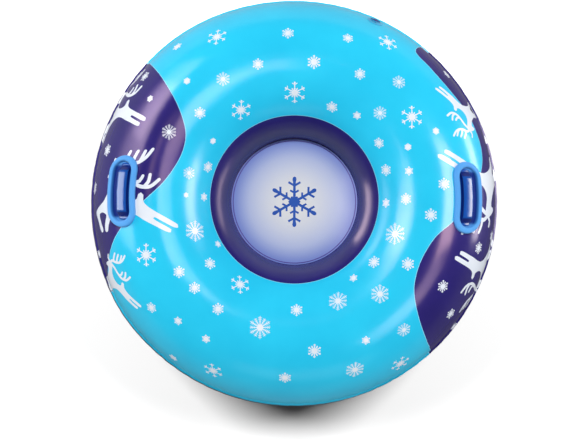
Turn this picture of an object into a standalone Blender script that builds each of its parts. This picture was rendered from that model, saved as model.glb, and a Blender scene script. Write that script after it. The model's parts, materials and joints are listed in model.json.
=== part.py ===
"""Inflatable snow tube: two PVC skins welded at the rim and round the seat, two handles and a stem valve.

Metres, +Z up. The tube lies flat, ready to sit in: the origin is on the ground under the middle of the seat.
"""

import math

import bmesh
import bpy
from mathutils import Matrix, Vector

# The inflated ring
TUBE_DIAMETER = 1.000        # across the welded rim
SEAT_RADIUS = 0.155          # where the inner wall meets the seat floor
PUFF = 0.160                 # rise of each skin above the plane of the seams
GROUND_PRESS = 0.005         # how far the ground flattens the underside
RIM_WIDTH = 0.007            # weld that stands out round the rim
SEAT_WELD_WIDTH = 0.010      # weld under the edge of the seat floor
PUFF_EXPONENT = 1.2          # 1 is an ellipse, and more is more pointed at the seams

# Sheet stock
TOP_SHEET = 0.0006
BOTTOM_SHEET = 0.0009
FLOOR_SHEET = 0.0006
GAP = 0.0003                 # between pieces that touch
BASE_GAP = 0.0004            # under a piece that bends with the faceted skin

# Facets
AROUND = 64                  # facets round the ring
SECTION_STEPS = 16           # facets over one skin
ROUND_FACETS = 24            # facets round the small round pieces
FLANGE_FACETS = 32
WALK_STEPS = 24              # steps in measuring a distance along the skin
SHARP_ANGLE = 35.0           # degrees between faces that show an edge

# Handles
HANDLE_AZIMUTHS = {"right": 0.5, "left": 177.5}
HANDLE_TURN = 60.0           # degrees round the section, from the rim towards the crest
HANDLE_LENGTH = 0.170
HANDLE_WIDTH = 0.080
BASE_EDGE = 0.0030           # height of the base's outer wall
RIM_ROUND = 0.0045           # width of each slope of the raised rim
RIM_RISE = 0.0055            # rise of the rim over the outer wall
RIM_FLAT = 0.0060            # width of the rim's top
RIM_STEEP_SHARE = 0.7        # share of a slope's height in the outer half of its width
BASE_PLATE = 0.0015          # thickness inside the rim
HANDLE_FACETS = 28
BEND_ACROSS = 0.0140         # facets of what bends with the skin, over the section
BEND_ALONG = 0.0200          # and round the ring
GRIP_WIDTH = 0.026
GRIP_THICKNESS = 0.008
FINGER_GAP = 0.0110          # skin to the underside of the grip
GRIP_STRAIGHT = 0.092        # length of the grip's level top
GRIP_RAMP = 0.013            # length of each slope from the top to its foot
GRIP_FOOT_HEIGHT = 0.003
GRIP_ROUND = 0.0035          # rounding of the grip's long edges
GRIP_ROUND_FACETS = 2

# Valve
VALVE_AZIMUTH = 66.0
VALVE_TURN = 26.0
FLANGE_RADIUS = 0.019
FLANGE_SHEET = 0.0008
STEM_RADIUS = 0.0075
STEM_BORE = 0.0052
STEM_CLEARANCE = 0.0005
COLLAR_RADIUS = 0.0095
COLLAR_THICKNESS = 0.0012
STEM_DEPTH = 0.0160          # from the skin to the stem's inner end, pushed in
LIP_RADIUS = 0.0090
LIP_THICKNESS = 0.0012
SEAT_BORE = 0.0040           # opening in the ring that the flap closes
SEAT_RING = 0.0010
FLAP_CHAMBER_RADIUS = 0.0061
FLAP_CHAMBER_DEPTH = 0.0040
FLAP_RADIUS = 0.0050
FLAP_SHEET = 0.0008
PLUG_RADIUS = 0.0075
PLUG_THICKNESS = 0.0016
SPIGOT_LENGTH = 0.0040
SPIGOT_TOP_RADIUS = 0.0046
SPIGOT_END_RADIUS = 0.0034
TAB_LENGTH = 0.0040
TAB_WIDTH = 0.0060
TAB_THICKNESS = 0.0008
STRAP_LENGTH = 0.0044
STRAP_WIDTH = 0.0050
STRAP_THICKNESS = 0.0010     # the strap's ends are round about its two hinges
STRAP_FACETS = 6             # facets of each round end
EAR_WIDTH = 0.0070
EAR_MARGIN = 0.0012          # ear past the strap
JOIN = 0.0010                # overlap of two shapes that a union joins
CUT_MARGIN = 0.0100          # overrun of a cutter
WELD_DISTANCE = 0.00001

# Sizes that follow
RIM_RADIUS = TUBE_DIAMETER / 2
BODY_RADIUS = RIM_RADIUS - RIM_WIDTH
RING_RADIUS = (BODY_RADIUS + SEAT_RADIUS) / 2
HALF_WIDTH = (BODY_RADIUS - SEAT_RADIUS) / 2
SEAM_Z = PUFF - GROUND_PRESS
TOP_Z = SEAM_Z + GAP / 2 + TOP_SHEET
BOTTOM_Z = TOP_Z - TOP_SHEET - GAP - BOTTOM_SHEET
BOTTOM_PUFF = BOTTOM_Z + GROUND_PRESS
FLOOR_Z = TOP_Z + GAP
HANDLE_STRAIGHT = HANDLE_LENGTH - HANDLE_WIDTH
VALVE_HOLE_RADIUS = max(COLLAR_RADIUS, LIP_RADIUS) + STEM_CLEARANCE

# Heights in the valve, over the skin
FLANGE_TOP = BASE_GAP + FLANGE_SHEET
COLLAR_UNDER = FLANGE_TOP + GAP
COLLAR_TOP = COLLAR_UNDER + COLLAR_THICKNESS
PLUG_UNDER = COLLAR_TOP + GAP
PLUG_TOP = PLUG_UNDER + PLUG_THICKNESS
STRAP_Z = PLUG_UNDER + STRAP_THICKNESS / 2
STRAP_END = PLUG_RADIUS + GAP + STRAP_LENGTH
STRAP_PIVOT = STRAP_END - STRAP_THICKNESS / 2
PLUG_PIVOT = STRAP_END - STRAP_LENGTH + STRAP_THICKNESS / 2
FLAP_CHAMBER_TOP = FLAP_CHAMBER_DEPTH - STEM_DEPTH
FLAP_Z = FLAP_CHAMBER_TOP - GAP - FLAP_SHEET / 2

CYAN = (0.02, 0.52, 0.86)
CHARCOAL = (0.045, 0.05, 0.06)
PALE = (0.62, 0.68, 0.86)
HANDLE_BLUE = (0.05, 0.26, 0.78)
VALVE_CLEAR = (0.10, 0.42, 0.72)
PLUG_BLUE = (0.03, 0.16, 0.50)


def clear_scene():
    for item in list(bpy.data.objects):
        bpy.data.objects.remove(item, do_unlink=True)


def make_collection(name):
    collection = bpy.data.collections.new(name)
    bpy.context.scene.collection.children.link(collection)
    return collection


def make_material(name, colour, roughness):
    material = bpy.data.materials.new(name)
    material.use_nodes = True
    shader = material.node_tree.nodes["Principled BSDF"]
    shader.inputs["Base Color"].default_value = (*colour, 1.0)
    shader.inputs["Roughness"].default_value = roughness
    shader.inputs["Metallic"].default_value = 0.0
    return material


def add_object(name, mesh, collection, material=None):
    item = bpy.data.objects.new(name, mesh)
    collection.objects.link(item)
    if material:
        mesh.materials.append(material)
    return item


def mesh_from(bm, name):
    mesh = bpy.data.meshes.new(name)
    bm.to_mesh(mesh)
    bm.free()
    return mesh


def shade(mesh):
    mesh.shade_smooth()
    mesh.set_sharp_from_angle(angle=math.radians(SHARP_ANGLE))


def section(turn, base=TOP_Z, puff=PUFF):
    """Radius and height of a skin, turn radians round its section: 0 at the rim and pi at the seat."""
    radius = RING_RADIUS + HALF_WIDTH * math.cos(turn)
    return radius, base + puff * math.sin(turn) ** PUFF_EXPONENT


def section_slope(turn):
    """How radius and height change with the turn, on the top skin."""
    rise = PUFF * PUFF_EXPONENT * math.sin(turn) ** (PUFF_EXPONENT - 1) * math.cos(turn)
    return -HALF_WIDTH * math.sin(turn), rise


def walk_section(turn, outward):
    """The turn reached by going a distance outward along the top skin."""
    for _ in range(WALK_STEPS):
        turn -= outward / WALK_STEPS / math.hypot(*section_slope(turn))
    return turn


def skin_frame(azimuth, turn):
    """Place on the top skin, with X outward along it, Y round the ring and Z out of it."""
    radius, height = section(turn)
    back, rise = section_slope(turn)
    length = math.hypot(back, rise)
    spoke = Vector((math.cos(azimuth), math.sin(azimuth), 0))
    up = Vector((0, 0, 1))
    outward = (spoke * -back - up * rise) / length
    normal = (spoke * rise - up * back) / length
    frame = Matrix((outward, normal.cross(outward), normal)).transposed().to_4x4()
    frame.translation = spoke * radius + up * height
    return frame


def bend_onto_skin(bm, azimuth, turn):
    """Lays a flat shape on the top skin: X goes outward along it, Y round the ring and Z out of it."""
    for vert in bm.verts:
        outward, along, height = vert.co
        there = walk_section(turn, outward)
        frame = skin_frame(azimuth + along / section(there)[0], there)
        vert.co = frame @ Vector((0, 0, height))


def outline_mesh(name, outline, closed):
    """The edges of an outline, as (radius, height) points, in the XZ plane."""
    bm = bmesh.new()
    verts = [bm.verts.new((radius, 0, height)) for radius, height in outline]
    for first, second in zip(verts, verts[1:]):
        bm.edges.new((first, second))
    if closed:
        bm.edges.new((verts[-1], verts[0]))
    return mesh_from(bm, name)


def add_turn(item, steps):
    screw = item.modifiers.new("turn", "SCREW")
    screw.axis = "Z"
    screw.steps = steps
    screw.render_steps = steps
    screw.use_merge_vertices = True
    screw.merge_threshold = WELD_DISTANCE
    weld = item.modifiers.new("pole", "WELD")
    weld.merge_threshold = WELD_DISTANCE


def turned_sheet(name, outline, thickness, collection, material):
    """A sheet turned round Z from its outer face, with its thickness on the inside."""
    item = add_object(name, outline_mesh(name, outline, False), collection, material)
    add_turn(item, AROUND)
    solid = item.modifiers.new("thickness", "SOLIDIFY")
    solid.thickness = thickness
    solid.offset = -1
    solid.use_even_offset = True
    return item


def turned_solid(name, outline, steps, collection, material=None):
    """A solid turned round Z. The outline goes down its outer side."""
    closed = all(radius > 0 for radius, _ in outline)
    item = add_object(name, outline_mesh(name, outline, closed), collection, material)
    add_turn(item, steps)
    return item


def apply_modifiers(item):
    """Gives an object its evaluated mesh."""
    bpy.context.view_layer.update()
    evaluated = item.evaluated_get(bpy.context.evaluated_depsgraph_get())
    mesh = bpy.data.meshes.new_from_object(evaluated)
    item.modifiers.clear()
    item.data = mesh


def add_boolean(item, tool, operation):
    boolean = item.modifiers.new(operation.lower(), "BOOLEAN")
    boolean.operation = operation
    boolean.solver = "EXACT"
    boolean.object = tool


def hide_tool(item):
    item.hide_render = True
    item.display_type = "WIRE"


def add_pivot(name, place, along, height, carrier, collection):
    """An empty on the axis that a piece turns about, on the piece that carries it."""
    pivot = bpy.data.objects.new(name, None)
    collection.objects.link(pivot)
    pivot.parent = carrier
    pivot.matrix_world = place @ Matrix.Translation((0, along, height))
    return pivot


def hang(item, carrier):
    """Makes a piece move with its carrier, and leaves it where it is."""
    place = item.matrix_world.copy()
    item.parent = carrier
    item.matrix_world = place


def box_tool(name, low, high, collection):
    """A box between two corners, for a union."""
    bm = bmesh.new()
    bmesh.ops.create_cube(bm, size=1)
    size = Vector(high) - Vector(low)
    middle = (Vector(high) + Vector(low)) / 2
    bmesh.ops.transform(bm, matrix=Matrix.Translation(middle) @ Matrix.Diagonal((*size, 1)), verts=bm.verts)
    item = add_object(name, mesh_from(bm, name), collection)
    hide_tool(item)
    return item


def disc(name, radius, thickness, facets, collection, material):
    bm = bmesh.new()
    bmesh.ops.create_cone(bm, cap_ends=True, segments=facets, radius1=radius, radius2=radius, depth=thickness)
    return add_object(name, mesh_from(bm, name), collection, material)


def top_outline():
    """The top skin's outer face, from the seat weld over the crest to the rim weld."""
    arch = [section(math.pi * step / SECTION_STEPS) for step in range(SECTION_STEPS, -1, -1)]
    return [(SEAT_RADIUS - SEAT_WELD_WIDTH, TOP_Z), *arch, (RIM_RADIUS, TOP_Z)]


def bottom_outline():
    """The bottom skin's outer face, from the rim weld under the ring to the middle of the seat."""
    flat_turn = math.asin((BOTTOM_Z / BOTTOM_PUFF) ** (1 / PUFF_EXPONENT))
    half = SECTION_STEPS // 2
    side = [section(flat_turn * step / half, BOTTOM_Z, -BOTTOM_PUFF) for step in range(half)]
    mirrored = [(2 * RING_RADIUS - radius, height) for radius, height in reversed(side)]
    reach = HALF_WIDTH * math.cos(flat_turn)
    outer = [(RIM_RADIUS, BOTTOM_Z), *side, (RING_RADIUS + reach, 0)]
    inner = [(RING_RADIUS - reach, 0), *mirrored, (0, BOTTOM_Z)]
    return [*outer, *inner]


def make_skins(collection, tools, cyan, charcoal, pale):
    top = turned_sheet("top_skin", top_outline(), TOP_SHEET, collection, cyan)
    turned_sheet("bottom_skin", bottom_outline(), BOTTOM_SHEET, collection, charcoal)
    hole = turned_solid("valve_hole", [
        (0, CUT_MARGIN), (VALVE_HOLE_RADIUS, CUT_MARGIN), (VALVE_HOLE_RADIUS, -CUT_MARGIN), (0, -CUT_MARGIN)],
        ROUND_FACETS, tools)
    hole.matrix_world = skin_frame(math.radians(VALVE_AZIMUTH), math.radians(VALVE_TURN))
    hide_tool(hole)
    add_boolean(top, hole, "DIFFERENCE")
    floor = disc("seat_floor", SEAT_RADIUS - GAP - FLOOR_SHEET, FLOOR_SHEET, AROUND, collection, pale)
    floor.location.z = FLOOR_Z + FLOOR_SHEET / 2


def cut_across(bm, direction, step):
    """Cuts a flat shape across a direction at every multiple of a step, so that it can bend."""
    lines = math.ceil(max(abs(vert.co.dot(direction)) for vert in bm.verts) / step)
    for line in range(1 - lines, lines):
        bmesh.ops.bisect_plane(
            bm, geom=bm.verts[:] + bm.edges[:] + bm.faces[:], dist=WELD_DISTANCE,
            plane_co=direction * line * step, plane_no=direction)


def bent_piece(bm, name, azimuth, turn, collection, material):
    """Bends a flat shape over the top skin. Pieces on one place share their facets, so they stay apart."""
    cut_across(bm, Vector((1, 0, 0)), BEND_ACROSS)
    cut_across(bm, Vector((0, 1, 0)), BEND_ALONG)
    bend_onto_skin(bm, azimuth, turn)
    bmesh.ops.triangulate(bm, faces=bm.faces)
    mesh = mesh_from(bm, name)
    shade(mesh)
    return add_object(name, mesh, collection, material)


def make_handle_base(name, azimuth, collection, material):
    """An oval tray: a thin plate inside a raised, rounded rim."""
    bm = bmesh.new()
    bmesh.ops.create_cone(
        bm, cap_ends=True, segments=HANDLE_FACETS, radius1=HANDLE_WIDTH / 2, radius2=HANDLE_WIDTH / 2,
        depth=BASE_EDGE, matrix=Matrix.Rotation(math.pi / HANDLE_FACETS, 4, "Z"))
    for vert in bm.verts:
        vert.co.y += math.copysign(HANDLE_STRAIGHT / 2, vert.co.y)
        vert.co.z += BASE_EDGE / 2 + BASE_GAP
    top = max(bm.faces, key=lambda face: face.calc_center_median().z)
    fall = BASE_EDGE + RIM_RISE - BASE_PLATE
    steep = RIM_STEEP_SHARE
    gentle = 1 - RIM_STEEP_SHARE
    half = RIM_ROUND / 2
    up = (half, RIM_RISE * steep), (half, RIM_RISE * gentle)
    down = (half, -fall * gentle), (half, -fall * steep)
    for inset, rise in (*up, (RIM_FLAT, 0), *down):
        bmesh.ops.inset_region(bm, faces=[top], thickness=inset, depth=0, use_even_offset=True)
        bmesh.ops.translate(bm, verts=top.verts, vec=(0, 0, rise))
    return bent_piece(bm, name, azimuth, math.radians(HANDLE_TURN), collection, material)


def grip_outline():
    """Half of the grip seen from the side, as distance from its middle and height over the skin."""
    plate_top = BASE_GAP + BASE_PLATE + GAP
    foot_top = plate_top + GRIP_FOOT_HEIGHT
    under = BASE_GAP + FINGER_GAP
    top = under + GRIP_THICKNESS
    shoulder = GRIP_STRAIGHT / 2
    slope_end = shoulder + GRIP_RAMP
    lean = GRIP_THICKNESS / 2
    tray_radius = (HANDLE_WIDTH / 2 - RIM_FLAT) * math.cos(math.pi / HANDLE_FACETS) - 2 * RIM_ROUND
    foot_end = HANDLE_STRAIGHT / 2 + math.sqrt(tray_radius ** 2 - (GRIP_WIDTH / 2) ** 2) - GAP
    return [
        (0, under), (shoulder - lean, under), (slope_end - lean, plate_top), (foot_end, plate_top),
        (foot_end, foot_top), (slope_end, foot_top), (slope_end - lean / 2, top - lean), (shoulder, top),
        (0, top)]


def make_handle_grip(name, azimuth, collection, material):
    """A padded bar that arches over the tray, on a foot at each end."""
    half = grip_outline()
    outline = half + [(-along, height) for along, height in reversed(half[1:-1])]
    bm = bmesh.new()
    face = bm.faces.new([bm.verts.new((-GRIP_WIDTH / 2, along, height)) for along, height in outline])
    side = bmesh.ops.extrude_face_region(bm, geom=[face])
    moved = [part for part in side["geom"] if isinstance(part, bmesh.types.BMVert)]
    bmesh.ops.translate(bm, verts=moved, vec=(GRIP_WIDTH, 0, 0))
    bmesh.ops.recalc_face_normals(bm, faces=bm.faces)
    long_edges = [edge for edge in bm.edges if abs(edge.verts[0].co.x - edge.verts[1].co.x) < WELD_DISTANCE]
    bmesh.ops.bevel(
        bm, geom=long_edges, offset=GRIP_ROUND, segments=GRIP_ROUND_FACETS, profile=0.5, affect="EDGES",
        clamp_overlap=True)
    bmesh.ops.remove_doubles(bm, verts=bm.verts, dist=WELD_DISTANCE)
    return bent_piece(bm, name, azimuth, math.radians(HANDLE_TURN), collection, material)


def make_handles(collection, blue):
    for side, degrees in HANDLE_AZIMUTHS.items():
        azimuth = math.radians(degrees)
        make_handle_base(f"{side}_handle_base", azimuth, collection, blue)
        make_handle_grip(f"{side}_handle_grip", azimuth, collection, blue)


def make_valve_flange(collection, clear):
    """A round patch, bent over the skin, with the hole that the stem slides in."""
    hole = STEM_RADIUS + STEM_CLEARANCE
    middle = (hole + FLANGE_RADIUS) / 2
    flange = turned_solid("valve_flange", [
        (middle, FLANGE_TOP), (FLANGE_RADIUS, FLANGE_TOP), (FLANGE_RADIUS, BASE_GAP), (middle, BASE_GAP),
        (hole, BASE_GAP), (hole, FLANGE_TOP)], FLANGE_FACETS, collection, clear)
    apply_modifiers(flange)
    bm = bmesh.new()
    bm.from_mesh(flange.data)
    bend_onto_skin(bm, math.radians(VALVE_AZIMUTH), math.radians(VALVE_TURN))
    bmesh.ops.triangulate(bm, faces=bm.faces)
    bm.to_mesh(flange.data)
    bm.free()


def make_valve_stem(place, collection, tools, clear):
    """The sliding tube: a collar outside, a lip inside that stops it, and a ring that the flap closes."""
    lip_top = LIP_THICKNESS - STEM_DEPTH
    seat_top = FLAP_CHAMBER_TOP + SEAT_RING
    stem = turned_solid("valve_stem", [
        (STEM_BORE, COLLAR_TOP), (COLLAR_RADIUS, COLLAR_TOP), (COLLAR_RADIUS, COLLAR_UNDER),
        (STEM_RADIUS, COLLAR_UNDER), (STEM_RADIUS, lip_top), (LIP_RADIUS, lip_top), (LIP_RADIUS, -STEM_DEPTH),
        (FLAP_CHAMBER_RADIUS, -STEM_DEPTH), (FLAP_CHAMBER_RADIUS, FLAP_CHAMBER_TOP),
        (SEAT_BORE, FLAP_CHAMBER_TOP), (SEAT_BORE, seat_top), (STEM_BORE, seat_top)],
        ROUND_FACETS, collection, clear)
    ear = box_tool(
        "stem_ear", (-EAR_WIDTH / 2, COLLAR_RADIUS - JOIN, COLLAR_UNDER),
        (EAR_WIDTH / 2, STRAP_END + EAR_MARGIN, COLLAR_TOP), tools)
    add_boolean(stem, ear, "UNION")
    stem.matrix_world = place
    ear.matrix_world = place
    return stem


def make_valve_plug(place, collection, tools, blue):
    """The plug that closes the stem, with a pull tab on the side away from its strap."""
    plug = turned_solid("valve_plug", [
        (0, PLUG_TOP), (PLUG_RADIUS, PLUG_TOP), (PLUG_RADIUS, PLUG_UNDER), (SPIGOT_TOP_RADIUS, PLUG_UNDER),
        (SPIGOT_END_RADIUS, PLUG_UNDER - SPIGOT_LENGTH), (0, PLUG_UNDER - SPIGOT_LENGTH)],
        ROUND_FACETS, collection, blue)
    tab_middle = (PLUG_TOP + PLUG_UNDER) / 2
    tab = box_tool(
        "plug_tab", (-TAB_WIDTH / 2, -PLUG_RADIUS - TAB_LENGTH, tab_middle - TAB_THICKNESS / 2),
        (TAB_WIDTH / 2, JOIN - PLUG_RADIUS, tab_middle + TAB_THICKNESS / 2), tools)
    add_boolean(plug, tab, "UNION")
    plug.matrix_world = place
    tab.matrix_world = place
    return plug


def make_plug_strap(place, collection, blue):
    """A flat strap with round ends, each about a hinge: the stem's ear at one, the plug at the other."""
    radius = STRAP_THICKNESS / 2
    outline = []
    for end in (1, -1):
        for step in range(STRAP_FACETS + 1):
            angle = math.pi * (step / STRAP_FACETS - 1 / 2)
            middle = STRAP_LENGTH / 2 - radius
            outline.append((end * (middle + radius * math.cos(angle)), end * radius * math.sin(angle)))
    bm = bmesh.new()
    face = bm.faces.new([bm.verts.new((-STRAP_WIDTH / 2, along, height)) for along, height in outline])
    side = bmesh.ops.extrude_face_region(bm, geom=[face])
    moved = [part for part in side["geom"] if isinstance(part, bmesh.types.BMVert)]
    bmesh.ops.translate(bm, verts=moved, vec=(STRAP_WIDTH, 0, 0))
    bmesh.ops.recalc_face_normals(bm, faces=bm.faces)
    mesh = mesh_from(bm, "plug_strap")
    shade(mesh)
    strap = add_object("plug_strap", mesh, collection, blue)
    strap.matrix_world = place @ Matrix.Translation((0, STRAP_END - STRAP_LENGTH / 2, STRAP_Z))
    return strap


def make_valve_flap(place, collection, blue):
    """The check flap, under the ring inside the stem."""
    flap = disc("valve_flap", FLAP_RADIUS, FLAP_SHEET, ROUND_FACETS, collection, blue)
    flap.matrix_world = place @ Matrix.Translation((0, 0, FLAP_Z))
    return flap


def make_valve(collection, tools, clear, blue):
    """A stem valve, pushed in and plugged. Its stem slides, its strap and plug fold, its flap swings."""
    place = skin_frame(math.radians(VALVE_AZIMUTH), math.radians(VALVE_TURN))
    make_valve_flange(collection, clear)
    stem = make_valve_stem(place, collection, tools, clear)
    strap_pivot = add_pivot("strap_pivot", place, STRAP_PIVOT, STRAP_Z, stem, collection)
    plug_pivot = add_pivot("plug_pivot", place, PLUG_PIVOT, STRAP_Z, strap_pivot, collection)
    flap_pivot = add_pivot("flap_pivot", place, FLAP_RADIUS, FLAP_Z, stem, collection)
    hang(make_plug_strap(place, collection, blue), strap_pivot)
    hang(make_valve_plug(place, collection, tools, blue), plug_pivot)
    hang(make_valve_flap(place, collection, blue), flap_pivot)


def main():
    clear_scene()
    parts = make_collection("snow_tube")
    tools = make_collection("cutters")
    cyan = make_material("printed_pvc", CYAN, 0.3)
    charcoal = make_material("bottom_pvc", CHARCOAL, 0.5)
    pale = make_material("seat_pvc", PALE, 0.35)
    blue = make_material("handle_pvc", HANDLE_BLUE, 0.25)
    clear = make_material("valve_pvc", VALVE_CLEAR, 0.25)
    plug_blue = make_material("plug_pvc", PLUG_BLUE, 0.3)
    make_skins(parts, tools, cyan, charcoal, pale)
    make_handles(parts, blue)
    make_valve(parts, tools, clear, plug_blue)


main()
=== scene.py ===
"""Looks of an inflatable snow tube: skins, print, seat, grab handles and valve, with floor, light and camera.

Metres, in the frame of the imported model: the tube lies flat, +Z up, and the camera looks down on it.
"""

import json
import logging
import math
from dataclasses import dataclass
from enum import Enum
from typing import Sequence

import bmesh
import bpy
import numpy as np
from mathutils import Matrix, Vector
from mathutils.kdtree import KDTree


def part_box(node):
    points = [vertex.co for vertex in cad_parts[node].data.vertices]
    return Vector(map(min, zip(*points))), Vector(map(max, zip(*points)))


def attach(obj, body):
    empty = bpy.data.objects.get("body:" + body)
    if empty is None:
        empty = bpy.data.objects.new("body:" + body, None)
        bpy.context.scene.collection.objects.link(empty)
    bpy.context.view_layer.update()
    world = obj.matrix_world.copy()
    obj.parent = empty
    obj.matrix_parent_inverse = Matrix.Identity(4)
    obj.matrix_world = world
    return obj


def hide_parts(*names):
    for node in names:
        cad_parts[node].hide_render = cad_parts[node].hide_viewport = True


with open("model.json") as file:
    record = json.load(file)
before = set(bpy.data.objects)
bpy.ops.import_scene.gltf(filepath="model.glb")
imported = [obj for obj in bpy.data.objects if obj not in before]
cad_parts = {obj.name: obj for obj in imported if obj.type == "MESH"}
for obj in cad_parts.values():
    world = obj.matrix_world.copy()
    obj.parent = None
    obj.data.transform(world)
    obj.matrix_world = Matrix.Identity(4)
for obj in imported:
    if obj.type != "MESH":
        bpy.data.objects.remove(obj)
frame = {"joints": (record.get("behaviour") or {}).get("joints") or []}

log = logging.getLogger("snow_tube")

Colour = tuple[float, float, float]
Place = tuple[float, float, float]
Outline = list[tuple[float, float]]

VIEW_WIDTH = 588
VIEW_HEIGHT = 441
MILLIMETRES = 1000
WELD_DISTANCE = 0.000002
CUT_DISTANCE = 0.0000001
DRAWING_STEP = 6
NOISE_LOW, NOISE_HIGH = 0.3, 0.7
TUBE_BODY = "tube"
# The angles, in degrees, past which a sheet, a small piece and a rounded piece keep an edge.
SHEET_EDGE, PIECE_EDGE, ROUND_EDGE = 50, 40, 60
# Each handle's side, and its azimuth and turn on the ring, in degrees.
HANDLES = (("right", 0.5, 59.2), ("left", 177.85, 60.0))


def srgb(red: int, green: int, blue: int) -> Colour:
    """The linear colour that shows as an sRGB colour of 0 to 255 a channel.

    Args:
        red: The red channel.
        green: The green channel.
        blue: The blue channel.

    Returns:
        The linear channels, 0 to 1.
    """
    shares = [channel / 255 for channel in (red, green, blue)]
    return tuple(share / 12.92 if share <= 0.04045 else ((share + 0.055) / 1.055) ** 2.4 for share in shares)


def deselect_all() -> None:
    """Leaves edit mode and selects nothing."""
    if bpy.context.object and bpy.context.object.mode != "OBJECT":
        bpy.ops.object.mode_set(mode="OBJECT")
    bpy.ops.object.select_all(action="DESELECT")


def make_active(item: bpy.types.Object) -> None:
    """Selects one object alone, as the active one.

    Args:
        item: The object.
    """
    deselect_all()
    item.select_set(True)
    bpy.context.view_layer.objects.active = item


def settle(item: bpy.types.Object, name: str) -> bpy.types.Object:
    """Names an object and puts its place into its mesh.

    Args:
        item: The object.
        name: Its name, which its mesh takes too.

    Returns:
        The object, at the origin.
    """
    make_active(item)
    bpy.ops.object.transform_apply(location=True, rotation=True, scale=True)
    item.name = name
    item.data.name = name
    return item


def smooth(item: bpy.types.Object, degrees: float) -> None:
    """Shades an object smooth, with an edge where its faces meet at more than an angle."""
    make_active(item)
    bpy.ops.object.shade_smooth_by_angle(angle=math.radians(degrees))


def mend(item: bpy.types.Object) -> None:
    """Merges what lies on one point and turns the faces outwards.

    Args:
        item: The object, which is one closed shape.
    """
    make_active(item)
    bpy.ops.object.mode_set(mode="EDIT")
    bpy.ops.mesh.select_all(action="SELECT")
    bpy.ops.mesh.remove_doubles(threshold=WELD_DISTANCE)
    bpy.ops.mesh.dissolve_degenerate(threshold=WELD_DISTANCE)
    bpy.ops.mesh.select_all(action="SELECT")
    bpy.ops.mesh.normals_make_consistent(inside=False)
    bpy.ops.object.mode_set(mode="OBJECT")


def mesh_points(item: bpy.types.Object) -> np.ndarray:
    """Reads the places of an object's vertices.

    Args:
        item: The object.

    Returns:
        One row a vertex.
    """
    points = np.zeros(len(item.data.vertices) * 3)
    item.data.vertices.foreach_get("co", points)
    return points.reshape(-1, 3)


def set_points(item: bpy.types.Object, points: np.ndarray) -> None:
    """Moves an object's vertices to new places, one row each."""
    item.data.vertices.foreach_set("co", points.astype(np.float32).ravel())
    item.data.update()


def add_grid(name: str, columns: int, rows: int) -> tuple[bpy.types.Object, np.ndarray, np.ndarray]:
    """A flat grid to be wrapped into a closed shape.

    Args:
        name: The object's name.
        columns: How many faces it has across.
        rows: How many faces it has along.

    Returns:
        The object, and the column and row of each vertex.
    """
    deselect_all()
    bpy.ops.mesh.primitive_grid_add(x_subdivisions=columns, y_subdivisions=rows, size=1, calc_uvs=False)
    item = bpy.context.object
    item.name = name
    item.data.name = name
    flat = mesh_points(item) + 0.5
    return item, np.rint(flat[:, 0] * columns).astype(int), np.rint(flat[:, 1] * rows).astype(int)


def turned(name: str, around: int, section: Outline) -> bpy.types.Object:
    """A closed shape turned about the upright axis.

    Args:
        name: The object's name.
        around: How many faces it has round the axis.
        section: Its section, as radius and height. It starts and ends on the axis, or ends where it starts.

    Returns:
        The object.
    """
    rows = np.array(section)
    item, column, row = add_grid(name, around, len(rows) - 1)
    angle = 2 * math.pi * column / around
    radius, height = rows[row].T
    set_points(item, np.stack((radius * np.cos(angle), radius * np.sin(angle), height), 1))
    mend(item)
    return item


def add_layer(item: bpy.types.Object, name: str, values: np.ndarray) -> None:
    """Gives an object's vertices an attribute, one number each."""
    layer = item.data.attributes.new(name, "FLOAT", "POINT")
    layer.data.foreach_set("value", values.astype(np.float32))


def combine(item: bpy.types.Object, operation: str, tool: bpy.types.Object) -> None:
    """Joins a tool to an object, or cuts it out, and removes the tool.

    Args:
        item: The object.
        operation: UNION or DIFFERENCE.
        tool: The tool, a closed shape in its place.
    """
    make_active(item)
    modifier = item.modifiers.new("combined", "BOOLEAN")
    modifier.operation = operation
    modifier.object = tool
    bpy.ops.object.modifier_apply(modifier=modifier.name)
    bpy.data.objects.remove(tool, do_unlink=True)


def round_edges(item: bpy.types.Object, width: float, segments: int, degrees: float) -> None:
    """Rounds an object's edges.

    Args:
        item: The object.
        width: The width of the rounding.
        segments: How many faces it has.
        degrees: The least angle of an edge that is rounded.
    """
    make_active(item)
    modifier = item.modifiers.new("rounding", "BEVEL")
    modifier.width = width
    modifier.segments = segments
    modifier.limit_method = "ANGLE"
    modifier.angle_limit = math.radians(degrees)
    bpy.ops.object.modifier_apply(modifier=modifier.name)


def bump(values: np.ndarray, middle: float, width: float) -> np.ndarray:
    """A soft bump of height 1, for angles in degrees."""
    away = (values - middle + 180) % 360 - 180
    return np.exp(-((away / width) ** 2))


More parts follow.
